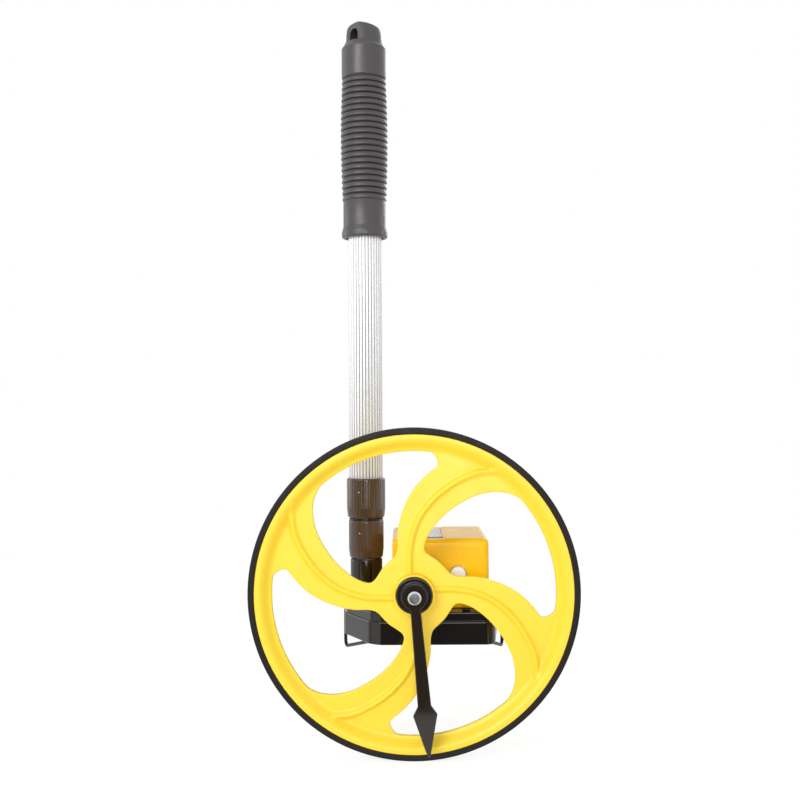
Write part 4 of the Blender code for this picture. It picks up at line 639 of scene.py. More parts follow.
def wheel_quarter():
    """One quarter of the wheel as grids, and the outline of the flat middle of its spoke's back. The grids
    are a spoke between two openings, the hub inside it, the rim round it, and the opening's wall."""
    low_side = even_steps(opening_loop[RIM_LOW:HUB_LOW + 1][::-1], SPOKE_ROWS)
    high_side = quarter_turn(even_steps(opening_loop[HUB_HIGH:RIM_HIGH + 1], SPOKE_ROWS), -1)
    hub_side = even_steps(opening_loop[HUB_LOW:HUB_HIGH + 1], HUB_COLUMNS)
    rim_side = even_steps(opening_loop[RIM_HIGH:][::-1], RIM_COLUMNS)
    edge = EDGE_STEPS / np.linalg.norm(low_side - high_side, axis=1)[:, None]
    edge_end = edge[:, -1:]
    inner = np.linspace(0, 1, SPOKE_COLUMNS - 2 * len(EDGE_STEPS) + 3)[1:-1]
    shares = np.concatenate([edge, edge_end + inner * (1 - 2 * edge_end), 1 - edge[:, ::-1]], axis=1)
    spoke = high_side[:, None] + shares[:, :, None] * (low_side - high_side)[:, None]

    hub_radius, hub_angle = radius_and_angle(np.concatenate([spoke[0], hub_side[1:]]))
    rim_radius, rim_angle = radius_and_angle(np.concatenate([spoke[-1], rim_side[1:]]))
    hub_strip, rim_strip = hub_radius - EDGE_STEPS[:, None], rim_radius + EDGE_STEPS[:, None]
    fillet = BOSS_RADIUS + BOSS_FILLET * (1 - np.sin(np.linspace(0, math.pi / 2, 6)))
    hub_run = np.linspace(0, 1, 8)[1:-1, None]
    hub_rows = np.concatenate([hub_strip, hub_strip[-1] + hub_run * (fillet[0] - hub_strip[-1]),
                               np.repeat(fillet[:, None], len(hub_angle), axis=1)])
    rim_run = np.linspace(0, 1, COVE_ROWS)[1:, None]
    rim_rows = np.concatenate([rim_strip, rim_strip[-1] + rim_run * (LIP_INNER_RADIUS - rim_strip[-1])])

    boss = turned_deep(rounded([
        (BOSS_RADIUS, WEB_DEPTH - BOSS_FILLET, 0), (BOSS_RADIUS, -BOSS_PROUD, 0.55),
        (BOSS_RECESS_RADIUS, -BOSS_PROUD, 0.45), (BOSS_RECESS_RADIUS, BOSS_FLOOR, 0),
        (HUB_BORE, BOSS_FLOOR, 0), (HUB_BORE, HUB_REAR_DEPTH, 0), (HUB_REAR_RADIUS, HUB_REAR_DEPTH, 0.5),
        (HUB_REAR_RADIUS, WEB_BACK, 1), (HUB_REAR_RADIUS + 2, WEB_BACK, 0),
    ]), hub_angle)
    lip = turned_deep(rounded([
        (LIP_INNER_RADIUS, 0, 0), (RIM_RADIUS, 0, 0.6), (RIM_RADIUS, FLANGE, 0), (GROOVE_RADIUS, FLANGE, 0),
        (GROOVE_RADIUS, RIM_WIDTH - FLANGE, 0), (RIM_RADIUS, RIM_WIDTH - FLANGE, 0),
        (RIM_RADIUS, RIM_WIDTH, 0.4), (BAND_RADIUS, RIM_WIDTH, 0.5), (BAND_RADIUS, WEB_BACK, 1.6),
        (WEB_BACK_RADIUS, WEB_BACK, 0),
    ]), rim_angle)
    hub_back = on_back(hub_strip[::-1, :, None] * ray(hub_angle))
    rim_back = on_back(rim_strip[:, :, None] * ray(rim_angle))
    back, strip = on_back(spoke), len(EDGE_STEPS)
    wall = np.concatenate([rim_side[::-1], low_side[::-1][1:], hub_side[1:], quarter_turn(high_side, 1)[1:]])
    wall_front, wall_back = on_front(wall), on_back(wall)
    grids = [
        on_front(spoke), on_front(hub_rows[:, :, None] * ray(hub_angle)),
        on_front(rim_rows[:, :, None] * ray(rim_angle)), boss, lip, hub_back, rim_back,
        np.concatenate([lip[-1:], rim_back[-1:]]), np.concatenate([boss[-1:], hub_back[:1]]),
        back[:, :strip], back[:, -strip:],
        wall_front + np.linspace(0, 1, 3)[:, None, None] * (wall_back - wall_front),
    ]
    flat = back[:, strip - 1:back.shape[1] - strip + 1]
    return grids, np.concatenate([flat[:, 0], flat[-1, 1:], flat[:-1, -1][::-1], flat[0, 1:-1][::-1]])


def turned_quarters(points):
    """A grid of the frame's points and its three copies turned round the axle."""
    centre = np.array([AXLE_X, 0, AXLE_Z])
    copies = []
    for turns in range(4):
        flat = quarter_turn((points - centre)[..., [0, 2]], turns)
        copies.append(np.stack([flat[..., 0] + AXLE_X, points[..., 1], flat[..., 1] + AXLE_Z], axis=-1))
    return copies


def clear_of_rim(points):
    """How much of the painted shade each point holds back: full on the boss, falling evenly to nothing further
    out."""
    radius = np.hypot(points[:, 0], points[:, 2] - AXLE_Z)
    return SHADE_HOLDBACK_SHARE * np.clip((SHADE_HOLDBACK_END - radius) / (SHADE_HOLDBACK_END - BOSS_RADIUS), 0, 1)


def make_wheel():
    grids, middle = wheel_quarter()
    patches = [copy for grid in grids for copy in turned_quarters(grid)]
    mesh = mesh_of("spoked_wheel", patches, turned_quarters(middle))
    # The mark holds the painted shade back round the hub.
    marked(mesh, SHADE_HOLDBACK_MARK, clear_of_rim)
    place_mesh("spoked_wheel", mesh, YELLOW_ABS, "wheel", ["wheel"], 40)


def turned_piece(name, section, material, body, nodes, sides=96, x=AXLE_X, z=AXLE_Z, crease=35):
    """A piece from a section of (radius, depth) rows turned round an axis along Y."""
    mesh = mesh_of(name, [turned_deep(section, all_round(sides), x, z)])
    return place_mesh(name, mesh, material, body, nodes, crease)


TYRE_SEAT = 101.75
TYRE_BEAD = 100.0
TYRE_SIDE_INSET = 0.4


def make_tyre():
    """The rubber band's section is turned round the axle: rounded tread shoulders, and a bead in the rim's
    groove."""
    side, far = TYRE_SIDE_INSET, RIM_WIDTH - TYRE_SIDE_INSET
    bead = FLANGE + 0.3
    section = rounded([
        (TYRE_RADIUS, side, 0.9), (TYRE_RADIUS, far, 0.9), (TYRE_SEAT, far, 0.3),
        (TYRE_SEAT, RIM_WIDTH - bead, 0), (TYRE_BEAD, RIM_WIDTH - bead, 0), (TYRE_BEAD, bead, 0),
        (TYRE_SEAT, bead, 0), (TYRE_SEAT, side, 0.3),
    ], 6, closed=True)
    turned_piece("tyre_band", section, TYRE_RUBBER, "wheel", ["tyre"], 360)


AXLE_RADIUS = 4.3
AXLE_BORE = 4.6
AXLE_FRONT = -13.0
AXLE_BACK = 115.9
AXLE_CHAMFER = 1.0
BUSH_FRONT = -4.2
BUSH_BACK = -0.9
BUSH_RADIUS = 11.5
BUSH_STEM_RADIUS = 6.7
BUSH_STEM_BACK = 2.1
NUT_CORNER_RADIUS = 7.3
DRIVE_TEETH, DRIVE_ROOT_RADIUS, DRIVE_TIP_RADIUS = 20, 6.8, 7.95
DRIVE_TURN = math.radians(53.13)
DRIVE_GEAR_FRONT, DRIVE_GEAR_BACK = 38.8, 43.0
shell_low, shell_high = box_of("counter_housing")
HOUSING_FRONT, HOUSING_BACK = shell_low[1] - FRONT_Y, shell_high[1] - FRONT_Y


def make_bush():
    """The bush's flange has a rounded rim and a shallow ring-shaped dish in its face."""
    section = rounded([
        (AXLE_BORE, BUSH_FRONT, 0), (8.4, BUSH_FRONT, 0.3), (8.7, BUSH_FRONT + 0.25, 0.2),
        (10.3, BUSH_FRONT + 0.25, 0.2), (10.6, BUSH_FRONT, 0.25), (BUSH_RADIUS, BUSH_FRONT, 0.75),
        (BUSH_RADIUS, BUSH_BACK, 0.3), (BUSH_STEM_RADIUS, BUSH_BACK, 0.2),
        (BUSH_STEM_RADIUS, BUSH_STEM_BACK, 0.3), (AXLE_BORE, BUSH_STEM_BACK, 0),
    ], 5, closed=True)
    turned_piece("bush_flange", section, BLACK_NYLON, "wheel", ["hub_bush"])


def make_axle():
    """A plated rod with chamfered ends. Its sawn front face is bare and mottled."""
    tip = AXLE_RADIUS - AXLE_CHAMFER
    section = rounded([
        (0, AXLE_FRONT, 0), (tip, AXLE_FRONT, 0.12), (AXLE_RADIUS, AXLE_FRONT + AXLE_CHAMFER, 0.4),
        (AXLE_RADIUS, AXLE_BACK - AXLE_CHAMFER, 0.4), (tip, AXLE_BACK, 0.12), (0, AXLE_BACK, 0),
    ], 4)
    rod = turned_piece("axle_rod", section, STEEL, "root", ["axle"])
    rod.data.materials.append(SAWN_STEEL)
    facing = np.zeros(len(rod.data.polygons) * 3)
    rod.data.polygons.foreach_get("normal", facing)
    ends = np.abs(facing.reshape(-1, 3)[:, 1]) > 0.98
    rod.data.polygons.foreach_set("material_index", ends.astype(int))


def ring_section(inner, outer, start, end):
    """A flat ring's closed section, with rounded outer edges."""
    return rounded([(inner, start, 0), (outer, start, 0.2), (outer, end, 0.2), (inner, end, 0)], 3, closed=True)


def make_axle_rings():
    """The retaining ring and the washer behind the needle, and the washer and the nut at the rear. The nut's
    radius is its section's, cut off by six flats."""
    for name, node, radius, front, back in (
        ("ring_on_axle", "retaining_ring", 7.2, -5.3, -4.5),
        ("washer_behind_needle", "pointer_washer", 7.8, -6.4, -5.6),
        ("rear_washer", "axle_washer", 8.0, HOUSING_BACK + 0.3, HOUSING_BACK + 1.3),
    ):
        turned_piece(name, ring_section(AXLE_BORE, radius, front, back), STEEL, "root", [node])
    front, back = HOUSING_BACK + 1.6, HOUSING_BACK + 6.6
    part_turn = (all_round(96) + math.pi / 6) % (math.pi / 3) - math.pi / 6
    flats = NUT_CORNER_RADIUS * math.cos(math.pi / 6) / np.cos(part_turn)
    section = [
        (AXLE_BORE, back - 0.5), (AXLE_BORE, front + 0.5), (5.1, front), (6.3, front),
        (NUT_CORNER_RADIUS, front + 0.6), (NUT_CORNER_RADIUS, back - 0.6), (6.3, back), (5.1, back),
        (AXLE_BORE, back - 0.5),
    ]
    section = [(np.minimum(radius, flats), depth) for radius, depth in section]
    turned_piece("rear_nut", section, STEEL, "root", ["axle_nut"], crease=20)


def toothed(angles, teeth, root, tip, turn):
    """A gear's radius at each angle: it rises from root to tip over straight flanks, one tooth centred on
    turn."""
    step = math.tau / teeth
    away = np.abs((angles - turn + step / 2) % step - step / 2) / (step / 2)
    return root + (tip - root) * np.clip((0.47 - away) / 0.27, 0, 1)


def make_drive_sleeve():
    """The sleeve runs from the hub into the counter and ends in the gear that drives it."""
    teeth = toothed(all_round(240), DRIVE_TEETH, DRIVE_ROOT_RADIUS, DRIVE_TIP_RADIUS, DRIVE_TURN)
    section = [
        (AXLE_BORE, DRIVE_GEAR_BACK), (AXLE_BORE, 2.4), (6.4, 2.4), (6.7, 2.7), (6.7, 15.5), (9.6, 15.5),
        (9.8, 15.7), (9.8, 17.3), (9.6, 17.5), (6.9, 17.5), (6.7, 17.7), (6.7, DRIVE_GEAR_FRONT),
        (teeth, DRIVE_GEAR_FRONT), (teeth, DRIVE_GEAR_BACK), (AXLE_BORE, DRIVE_GEAR_BACK),
    ]
    turned_piece("drive_sleeve", section, BLACK_NYLON, "wheel", ["drive_gear"], 240)


NEEDLE_FRONT, NEEDLE_BACK = -9.7, -6.7
NEEDLE_RING_RADIUS = 8.2
NEEDLE_ROOT_HALF, NEEDLE_END_HALF = 3.25, 4.25
NEEDLE_NECK_FILLET = 2.6
NEEDLE_HEAD_START, NEEDLE_HEAD_WIDEST, NEEDLE_REACH = 68.3, 73.8, 100.2
NEEDLE_HEAD_HALF, NEEDLE_TIP_HALF = 7.65, 0.8
NEEDLE_LEAN_DEGREES = 5.0
NEEDLE_CHAMFER = 0.45


def needle_outline():
    """The needle hanging down: a ring, fillets into the arm, the arm widening a little, and a pointed
    head."""
    side = NEEDLE_ROOT_HALF + NEEDLE_NECK_FILLET
    drop = math.sqrt((NEEDLE_RING_RADIUS + NEEDLE_NECK_FILLET) ** 2 - side ** 2)
    meet = math.atan2(side, drop)
    ring = NEEDLE_RING_RADIUS * ray(np.linspace(-math.pi / 2 + meet, 1.5 * math.pi - meet, 90))
    fillet = np.array([-side, -drop]) + NEEDLE_NECK_FILLET * ray(np.linspace(math.pi / 2 - meet, 0, 10)[1:])
    arm = rounded([
        (-NEEDLE_ROOT_HALF, -drop - 1, 0), (-NEEDLE_END_HALF, -NEEDLE_HEAD_START, 1.2),
        (-NEEDLE_HEAD_HALF, -NEEDLE_HEAD_WIDEST, 0.8), (-NEEDLE_TIP_HALF, -NEEDLE_REACH, 0.5),
        (0, -NEEDLE_REACH, 0),
    ], 4)[:-1]
    left = np.concatenate([fillet, arm])
    return np.concatenate([ring, left, (left * [-1, 1])[::-1]])


def make_needle():
    hole = AXLE_BORE * ray(all_round(64)[:-1])
    mesh = flat_mesh("needle", [needle_outline(), hole], NEEDLE_BACK - NEEDLE_FRONT, NEEDLE_CHAMFER)

    def hung(points):
        flat = spun(points[:, :2], math.radians(NEEDLE_LEAN_DEGREES))
        depth = (NEEDLE_FRONT + NEEDLE_BACK) / 2 - points[:, 2]
        return np.stack([AXLE_X + flat[:, 0], FRONT_Y + depth, AXLE_Z + flat[:, 1]], axis=-1)

    place_mesh("needle", sealed(changed(mesh, hung)), NEEDLE_ABS, "pointer", ["pointer"], 30)


tray_low, tray_high = box_of("base_tray")
tube_low, tube_high = box_of("inner_tube")
POLE_X, POLE_Y = (tube_low + tube_high)[:2] / 2
BASE_BOTTOM, SOCKET_TOP = tray_low[2], tray_high[2]
BASE_CORNERS = ((-22, 20), (53, 20), (63.5, 110), (-47.2, 110), (-47.2, 55), (-29.5, 24.33))
BASE_CORNER_RADIUS = 7.0
LOWER_TIER_TOP = BASE_BOTTOM + 15.1
DECK = BASE_BOTTOM + 20.9
CEILING = DECK - 2.5
TIER_INSET = 1.6
BASE_WALL = 2.5
SOCKET_RADIUS = 11.1
SOCKET_FOOT_RADIUS = 13.6
SOCKET_BORE = 9.3
SOCKET_FLOOR = CEILING + 1.4
PIVOT_Y = FRONT_Y + 100
PIVOT_Z = BASE_BOTTOM + 9.7
STAND_HOLE_RADIUS = 1.4
PLATE_BOTTOM = BASE_BOTTOM + 3.7
PLATE_SCREWS = ((-33.2, 96), (47.9, 96))
LEDGE_SCREWS = ((1.8, 28), (34.8, 28))


def make_base():
    """The tray: its walls' section is carried round the outline, and the pole's socket is joined on the
    deck."""
    corners = [(x, FRONT_Y + depth) for x, depth in BASE_CORNERS]
    shares = np.concatenate([[0.012], np.linspace(0, 1, 26)[1:-1], [0.988]])
    core, outward = rounded_core(corners, BASE_CORNER_RADIUS, 14, [shares] * len(corners))
    inner = TIER_INSET + BASE_WALL
    section = held(rounded([
        (inner, CEILING, 0), (inner, BASE_BOTTOM, 0.4), (0, BASE_BOTTOM, 0.6), (0, LOWER_TIER_TOP, 0.9),
        (TIER_INSET, LOWER_TIER_TOP, 0.25), (TIER_INSET, DECK, 0.8), (TIER_INSET + 1.4, DECK, 0),
    ]))
    tray = closed_mesh("base_moulding", carried_round(core, outward, BASE_CORNER_RADIUS, section))
    foot, below = SOCKET_FOOT_RADIUS + 2.6, DECK - 0.06
    socket = turned_up("socket", rounded([
        (0, CEILING + 0.9, 0), (foot, CEILING + 0.9, 0), (foot, below, 0), (SOCKET_FOOT_RADIUS, below, 1.8),
        (SOCKET_FOOT_RADIUS, DECK + 5.667, 7), (SOCKET_RADIUS, DECK + 14.5, 9),
        (SOCKET_RADIUS, SOCKET_TOP, 0.7), (0, SOCKET_TOP, 0),
    ], 7), all_round(128))
    bore = turned_up("bore", rounded([
        (0, SOCKET_FLOOR, 0), (SOCKET_BORE, SOCKET_FLOOR, 0), (SOCKET_BORE, SOCKET_TOP - 0.25, 0),
        (SOCKET_BORE + 0.4, SOCKET_TOP + 0.15, 0), (SOCKET_BORE + 0.4, SOCKET_TOP + 2, 0),
        (0, SOCKET_TOP + 2, 0),
    ]), all_round(96))
    left, right = -55, 70
    rod = [(0, left), (STAND_HOLE_RADIUS, left), (STAND_HOLE_RADIUS, right), (0, right)]
    deep, up, across = turned(rod, all_round(32))
    holes = mesh_of("stand_holes", [np.stack([across, PIVOT_Y + deep, PIVOT_Z + up], axis=-1)])
    mesh = combined(tray, ("UNION", socket), ("DIFFERENCE", bore), ("DIFFERENCE", holes))
    place_mesh("base_moulding", mesh, BLACK_ABS, "root", ["base_tray"], 32)


SCREW_HEAD_RADIUS, SCREW_HEAD_HEIGHT, SCREW_SEAT = 2.9, 1.4, 0.3
SCREW_RIM_HEIGHT = 0.5
SCREW_SHANK_RADIUS = 1.3
CROSS_HALF_WIDTH, CROSS_REACH, CROSS_DEPTH = 0.34, 1.55, 0.9
CROSS_SIDE_SOFT, CROSS_END_SOFT = 0.18, 0.3


def make_screw(name, node, place, away, length, material=STEEL):
    """A pan-head screw. The head's height is a flattened dome, less a smooth-edged cross cut into it."""
    away = np.array(away, float)
    across = np.cross(away, [0.6, 0.8, 0.0] if abs(away[2]) > 0.5 else [0, 0, 1])
    across /= np.linalg.norm(across)
    up = np.cross(away, across)
    angles = all_round(120)
    share = np.concatenate([np.linspace(0, 0.6, 22), np.linspace(0.64, 1, 10)])[:, None]
    radius = SCREW_HEAD_RADIUS * share
    dome = SCREW_SEAT + SCREW_RIM_HEIGHT + (SCREW_HEAD_HEIGHT - SCREW_RIM_HEIGHT) * np.sqrt(1 - share ** 4)
    u, v = np.abs(radius * np.cos(angles)), np.abs(radius * np.sin(angles))
    in_width = 1 - eased((np.minimum(u, v) - CROSS_HALF_WIDTH) / CROSS_SIDE_SOFT)
    in_reach = 1 - eased((np.maximum(u, v) - CROSS_REACH) / CROSS_END_SOFT)
    tip = SCREW_SEAT - length
    rows = [
        *zip(radius, dome - CROSS_DEPTH * in_width * in_reach), (SCREW_HEAD_RADIUS, SCREW_SEAT),
        (SCREW_SHANK_RADIUS, SCREW_SEAT), (SCREW_SHANK_RADIUS, tip), (0, tip),
    ]
    sideways, upwards, along = (values[..., None] for values in turned(rows, angles))
    grid = np.array(place) + sideways * across + upwards * up + along * away
    place_mesh(name, mesh_of(name, [grid]), material, "root", [node])


def make_screws():
    for side, (x, depth) in zip(("left", "right"), PLATE_SCREWS):
        place = (x, FRONT_Y + depth, PLATE_BOTTOM)
        make_screw(f"cover_screw_{side}", f"plate_screw_{side}", place, (0, 0, -1), 8.7)
    for side, (x, depth) in zip(("left", "right"), LEDGE_SCREWS):
        place = (x, FRONT_Y + depth, DECK)
        make_screw(f"deck_screw_{side}", f"ledge_screw_{side}", place, (0, 0, 1), 8.7, BLACK_STEEL)
    make_screw("pole_screw", "socket_screw", (POLE_X, POLE_Y + SOCKET_RADIUS, SOCKET_TOP - 7), (0, 1, 0), 5.5)


STAND_WIRE_RADIUS = 1.2
STAND_BEND_RADIUS = 3.6


def make_stand():
    """The wire: a stub in the left wall, down, forwards, across, back, up, and a stub in the right wall."""
    low, bar_y, bar_z = PIVOT_Z - 28.6, FRONT_Y + 36, BASE_BOTTOM + 0.1
    path = bent_path([
        (-39.9, PIVOT_Y, PIVOT_Z), (-48.8, PIVOT_Y, PIVOT_Z), (-48.8, PIVOT_Y, low), (-24, bar_y, bar_z),
        (45, bar_y, bar_z), (65.1, PIVOT_Y, low), (65.1, PIVOT_Y, PIVOT_Z), (54.7, PIVOT_Y, PIVOT_Z),
    ], STAND_BEND_RADIUS, 10)
    mesh = tube_along("stand_loop", path, STAND_WIRE_RADIUS, 20)
    place_mesh("stand_loop", mesh, BLACK_STEEL, "stand", ["stand_wire"])


DRAFT = 0.35
SHELL_ROUND = 3.6
SHELL_FOOT_ROUND = 0.3
SHELL_WALL, SHELL_ROOF = 2.0, 2.8
WINDOW_DROP = 0.65
WINDOW_SURFACE = shell_high[2] - WINDOW_DROP
WINDOW_ZONE_END = 21.25
WINDOW_LEFT, WINDOW_RIGHT = 2.25, 20.25
WINDOW_FRONT, WINDOW_BACK = FRONT_Y + 47, FRONT_Y + 99.5
WINDOW_REBATE, WINDOW_MOUTH = 1.4, 0.25
WINDOW_THICKNESS = 1.1
BUTTON_X, BUTTON_Z = 29.8, AXLE_Z + 7.13
BUTTON_HOLE = 5.6
SLEEVE_HOLE = 8.55
DRUM_X, DRUM_Z = 11.25, AXLE_Z + 15.0
DRUM_RADIUS = 11.4


def window_step(points):
    """Lowers points to the window's surface, left of a short smooth step in the roof."""
    ceiling = WINDOW_SURFACE + (WINDOW_DROP + 1) * eased((points[..., 0] - WINDOW_ZONE_END + 0.1) / 0.7)
    return np.concatenate([points[..., :2], np.minimum(points[..., 2], ceiling)[..., None]], axis=-1)


def hole_cutter(name, radius, front, back, x, z, mouth):
    """A cylinder along Y that flares by the mouth's width at its front end's surface."""
    rows = [
        (0, front - 2), (radius + mouth, front - 2), (radius + mouth, front),
        (radius + mouth * 0.3, front + mouth * 0.3), (radius, front + mouth), (radius, back), (0, back),
    ]
    return mesh_of(name, [turned_deep(rows, all_round(72), x, z)])


def make_counter_shell():
    """The housing's walls lean in a little towards the top and round over into the roof, which steps down
    to the window; the roof's grid has the walls' points along its edges."""
    low, high, wall, foot = shell_low, shell_high, SHELL_WALL, SHELL_FOOT_ROUND
    radius = SHELL_ROUND + DRAFT
    span_x, span_y = high[:2] - low[:2] - 2 * radius
    step_places = np.array([-0.15, -0.05, 0.1, 0.25, 0.4, 0.55, 0.7]) + WINDOW_ZONE_END
    across = np.unique(np.concatenate([np.linspace(0, 1, 28)[1:-1], [0.01, 0.99],
                                       (step_places - low[0] - radius) / span_x]))
    along = np.concatenate([[0.01], np.linspace(0, 1, 30)[1:-1], [0.99]])
    core, outward = rounded_core(rectangle(low, high), radius, 8,
                                 [across, along, 1 - across[::-1], 1 - along[::-1]])
    section = [(0.3, low[2]), (0.08, low[2] + 0.08), (0, low[2] + foot)]
    section += [(DRAFT * share, low[2] + foot + share * (high[2] - low[2] - foot - SHELL_ROUND))
                for share in np.linspace(0, 1, 20)[1:]]
    section += [(DRAFT + SHELL_ROUND * (1 - math.cos(turn)), high[2] - SHELL_ROUND * (1 - math.sin(turn)))
                for turn in np.linspace(0, math.pi / 2, 9)[1:]]
    walls = window_step(carried_round(core, outward, radius, section))
    grid_x, grid_y = np.meshgrid(low[0] + radius + span_x * np.concatenate([[0], across, [1]]),
                                 low[1] + radius + span_y * np.concatenate([[0], along, [1]]))
    roof = window_step(np.stack([grid_x, grid_y, np.full(grid_x.shape, high[2])], axis=-1))
    outside = mesh_of("counter_shell", [walls, roof], [walls[0, :-1]])
    hollow = rounded_block("hollow", low + wall, high - wall, 0.8, 4,
                           [(0, low[2] - 2), (0, high[2] - SHELL_ROOF)])
    mouth, above = WINDOW_MOUTH, high[2] + 2
    rebate = rounded_block("rebate", (WINDOW_LEFT, WINDOW_FRONT), (WINDOW_RIGHT, WINDOW_BACK), 0.7, 4, [
        (0, WINDOW_SURFACE - WINDOW_REBATE), (0, WINDOW_SURFACE - mouth),
        (-mouth * 0.3, WINDOW_SURFACE - mouth * 0.3), (-mouth, WINDOW_SURFACE), (-mouth, above),
    ])
    opening = rounded_block("opening", (WINDOW_LEFT + 1, WINDOW_FRONT + 1),
                            (WINDOW_RIGHT - 1, WINDOW_BACK - 1), 0.7, 4,
                            [(0, high[2] - SHELL_ROOF - 1), (0, above)])
    front, inside = HOUSING_FRONT + 0.3, HOUSING_FRONT + wall + 2
    sleeve = hole_cutter("sleeve_way", SLEEVE_HOLE, front, inside, AXLE_X, AXLE_Z, 0.3)
    button = hole_cutter("button_way", BUTTON_HOLE, front, inside, BUTTON_X, BUTTON_Z, 0.35)
    axle = hole_cutter("axle_way", AXLE_BORE, HOUSING_BACK - wall - 2, HOUSING_BACK + 2, AXLE_X, AXLE_Z, 0)
    mesh = cut(outside, hollow, rebate, opening, sleeve, button, axle)
    place_mesh("counter_shell", mesh, ORANGE_ABS, "root", ["counter_housing"], 30)


def make_window():
    """A flat pane with softened edges, let into the roof."""
    gap, edge = 0.3, 0.15
    bottom, top = WINDOW_SURFACE - WINDOW_THICKNESS, WINDOW_SURFACE
    section = rounded([(edge * 2, bottom, 0), (0, bottom, edge), (0, top, edge), (edge * 2, top, 0)], 3)
    mesh = rounded_block("window_pane", (WINDOW_LEFT + gap, WINDOW_FRONT + gap),
                         (WINDOW_RIGHT - gap, WINDOW_BACK - gap), 0.5, 5, section)
    place_mesh("window_pane", mesh, CLEAR_ACRYLIC, "root", ["counter_window"])


def make_window_lip():
    """A dark strip along the window's front edge, its top edges rounded: painted shade, standing for the
    shadowed front wall of the window's rebate.
    """
    bottom, top = WINDOW_SURFACE - 0.2, WINDOW_SURFACE + 0.5
    section = rounded([(0, bottom, 0), (0, top, 0.2), (0.25, top, 0)], 3)
    mesh = rounded_block("window_shade_strip", (WINDOW_LEFT + 0.1, WINDOW_FRONT + 0.1),
                         (WINDOW_RIGHT - 0.1, WINDOW_FRONT + 1.1), 0.3, 4, section)
    place_mesh("window_shade_strip", mesh, BLACK_ABS, "root", ())


def make_reset_cap():
    """The button: a slightly domed cap with a rounded rim, the flange that keeps it in, and its stem."""
    section = rounded([
        (0, 32.6, 0), (2.6, 32.66, 0), (5.1, 33.0, 0.75), (5.1, 38.3, 0), (6.4, 38.3, 0.2), (6.4, 39.5, 0.2),
        (2.2, 39.5, 0.2), (2.2, 45.8, 0.3), (0, 45.8, 0),
    ], 6)
    turned_piece("reset_cap", section, WHITE_ACETAL, "reset", ["reset_button"], 72, BUTTON_X,
                 BUTTON_Z)


COIL_RADIUS, COIL_WIRE_RADIUS = 3.1, 0.3
COIL_TURNS = 2.5


def make_reset_coil():
    """The spring behind the button, an even helix of wire."""
    front, back = (corner[1] for corner in box_of("reset_spring"))
    turn = np.linspace(0, COIL_TURNS * 2 * math.pi, 76)
    deep = np.linspace(front + COIL_WIRE_RADIUS, back - COIL_WIRE_RADIUS, len(turn))
    across, up = COIL_RADIUS * np.cos(turn), COIL_RADIUS * np.sin(turn)
    path = np.stack([BUTTON_X + across, deep, BUTTON_Z + up], axis=-1)
    mesh = tube_along("reset_coil", path, COIL_WIRE_RADIUS, 14)
    coil = place_mesh("reset_coil", mesh, STEEL, "root", ["reset_spring"])
    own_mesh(coil)


DIGIT_SIZE = 7.0
DIGIT_RAISE = 0.06
DIGIT_SINK = 0.3
CARRY_TEETH = 20


def digit_shape(digit):
    """A printed digit as a flat solid's points, in millimetres from its middle, and faces. It is cut into
    narrow bands, so that it can bend."""
    curve = bpy.data.curves.new(f"digit_{digit}", "FONT")
    curve.body, curve.size, curve.extrude = str(digit), DIGIT_SIZE, 0.5
    curve.align_x, curve.resolution_u = "CENTER", 3
    shape = bmesh.new()
    shape.from_mesh(drawn(curve))
    bmesh.ops.remove_doubles(shape, verts=shape.verts, dist=0.002)
    for height in np.linspace(0, DIGIT_SIZE, 15):
        parts = [*shape.verts, *shape.edges, *shape.faces]
        bmesh.ops.bisect_plane(shape, geom=parts, plane_co=(0, height, 0), plane_no=(0, 1, 0))
    shape.verts.index_update()
    points = np.array([vert.co for vert in shape.verts])
    faces = [[vert.index for vert in face.verts] for face in shape.faces]
    shape.free()
    points[:, :2] -= (points[:, :2].min(axis=0) + points[:, :2].max(axis=0)) / 2
    return points, faces


def make_number_wheels():
    """Five wheels with a toothed ring on all but the first, and the digits 0 to 9 bent round each rim: a
    digit's height becomes an angle round the wheel, and its width runs along the axle."""
    ring = toothed(all_round(240), CARRY_TEETH, 8.75, 9.95, math.radians(-35))
    digits = [digit_shape(digit) for digit in range(10)]
    for number in range(1, 6):
        start = 46.1 + 10.6 * (number - 1)
        front, back = start + 2.6, start + 10.3
        hub = 4.2 if number == 1 else ring
        section = [
            (hub, start), (hub, front), (9.98, front), (10.1, front), (11.2, front),
            (DRUM_RADIUS, front + 0.2), (DRUM_RADIUS, back - 0.2), (11.2, back), (10.0, back),
            (9.7, back - 0.5), (5.2, back - 0.5), (4.9, back), (2.3, back), (2.3, start), (hub, start),
        ]
        turned_piece(f"count_wheel_{number}", section, WHITE_ACETAL, f"drum_{number}",
                     [f"number_wheel_{number}"], 240, DRUM_X, DRUM_Z)
        middle = FRONT_Y + (front + back) / 2
        points, faces, count = [], [], 0
        for digit, (shape, corners) in enumerate(digits):
            angle = shape[:, 1] / DRUM_RADIUS + math.radians(36 * digit)
            radius = DRUM_RADIUS + np.where(shape[:, 2] > 0, DIGIT_RAISE, -DIGIT_SINK)
            points.append(np.stack([DRUM_X + radius * np.sin(angle), middle - shape[:, 0],
                                    DRUM_Z + radius * np.cos(angle)], axis=-1))
            faces.extend([[corner + count for corner in face] for face in corners])
            count += len(shape)
        mesh = bpy.data.meshes.new(f"count_digits_{number}")
        mesh.from_pydata((np.concatenate(points) * MM).tolist(), [], faces)
        place_mesh(mesh.name, sealed(mesh), BLACK_INK, f"drum_{number}", ())


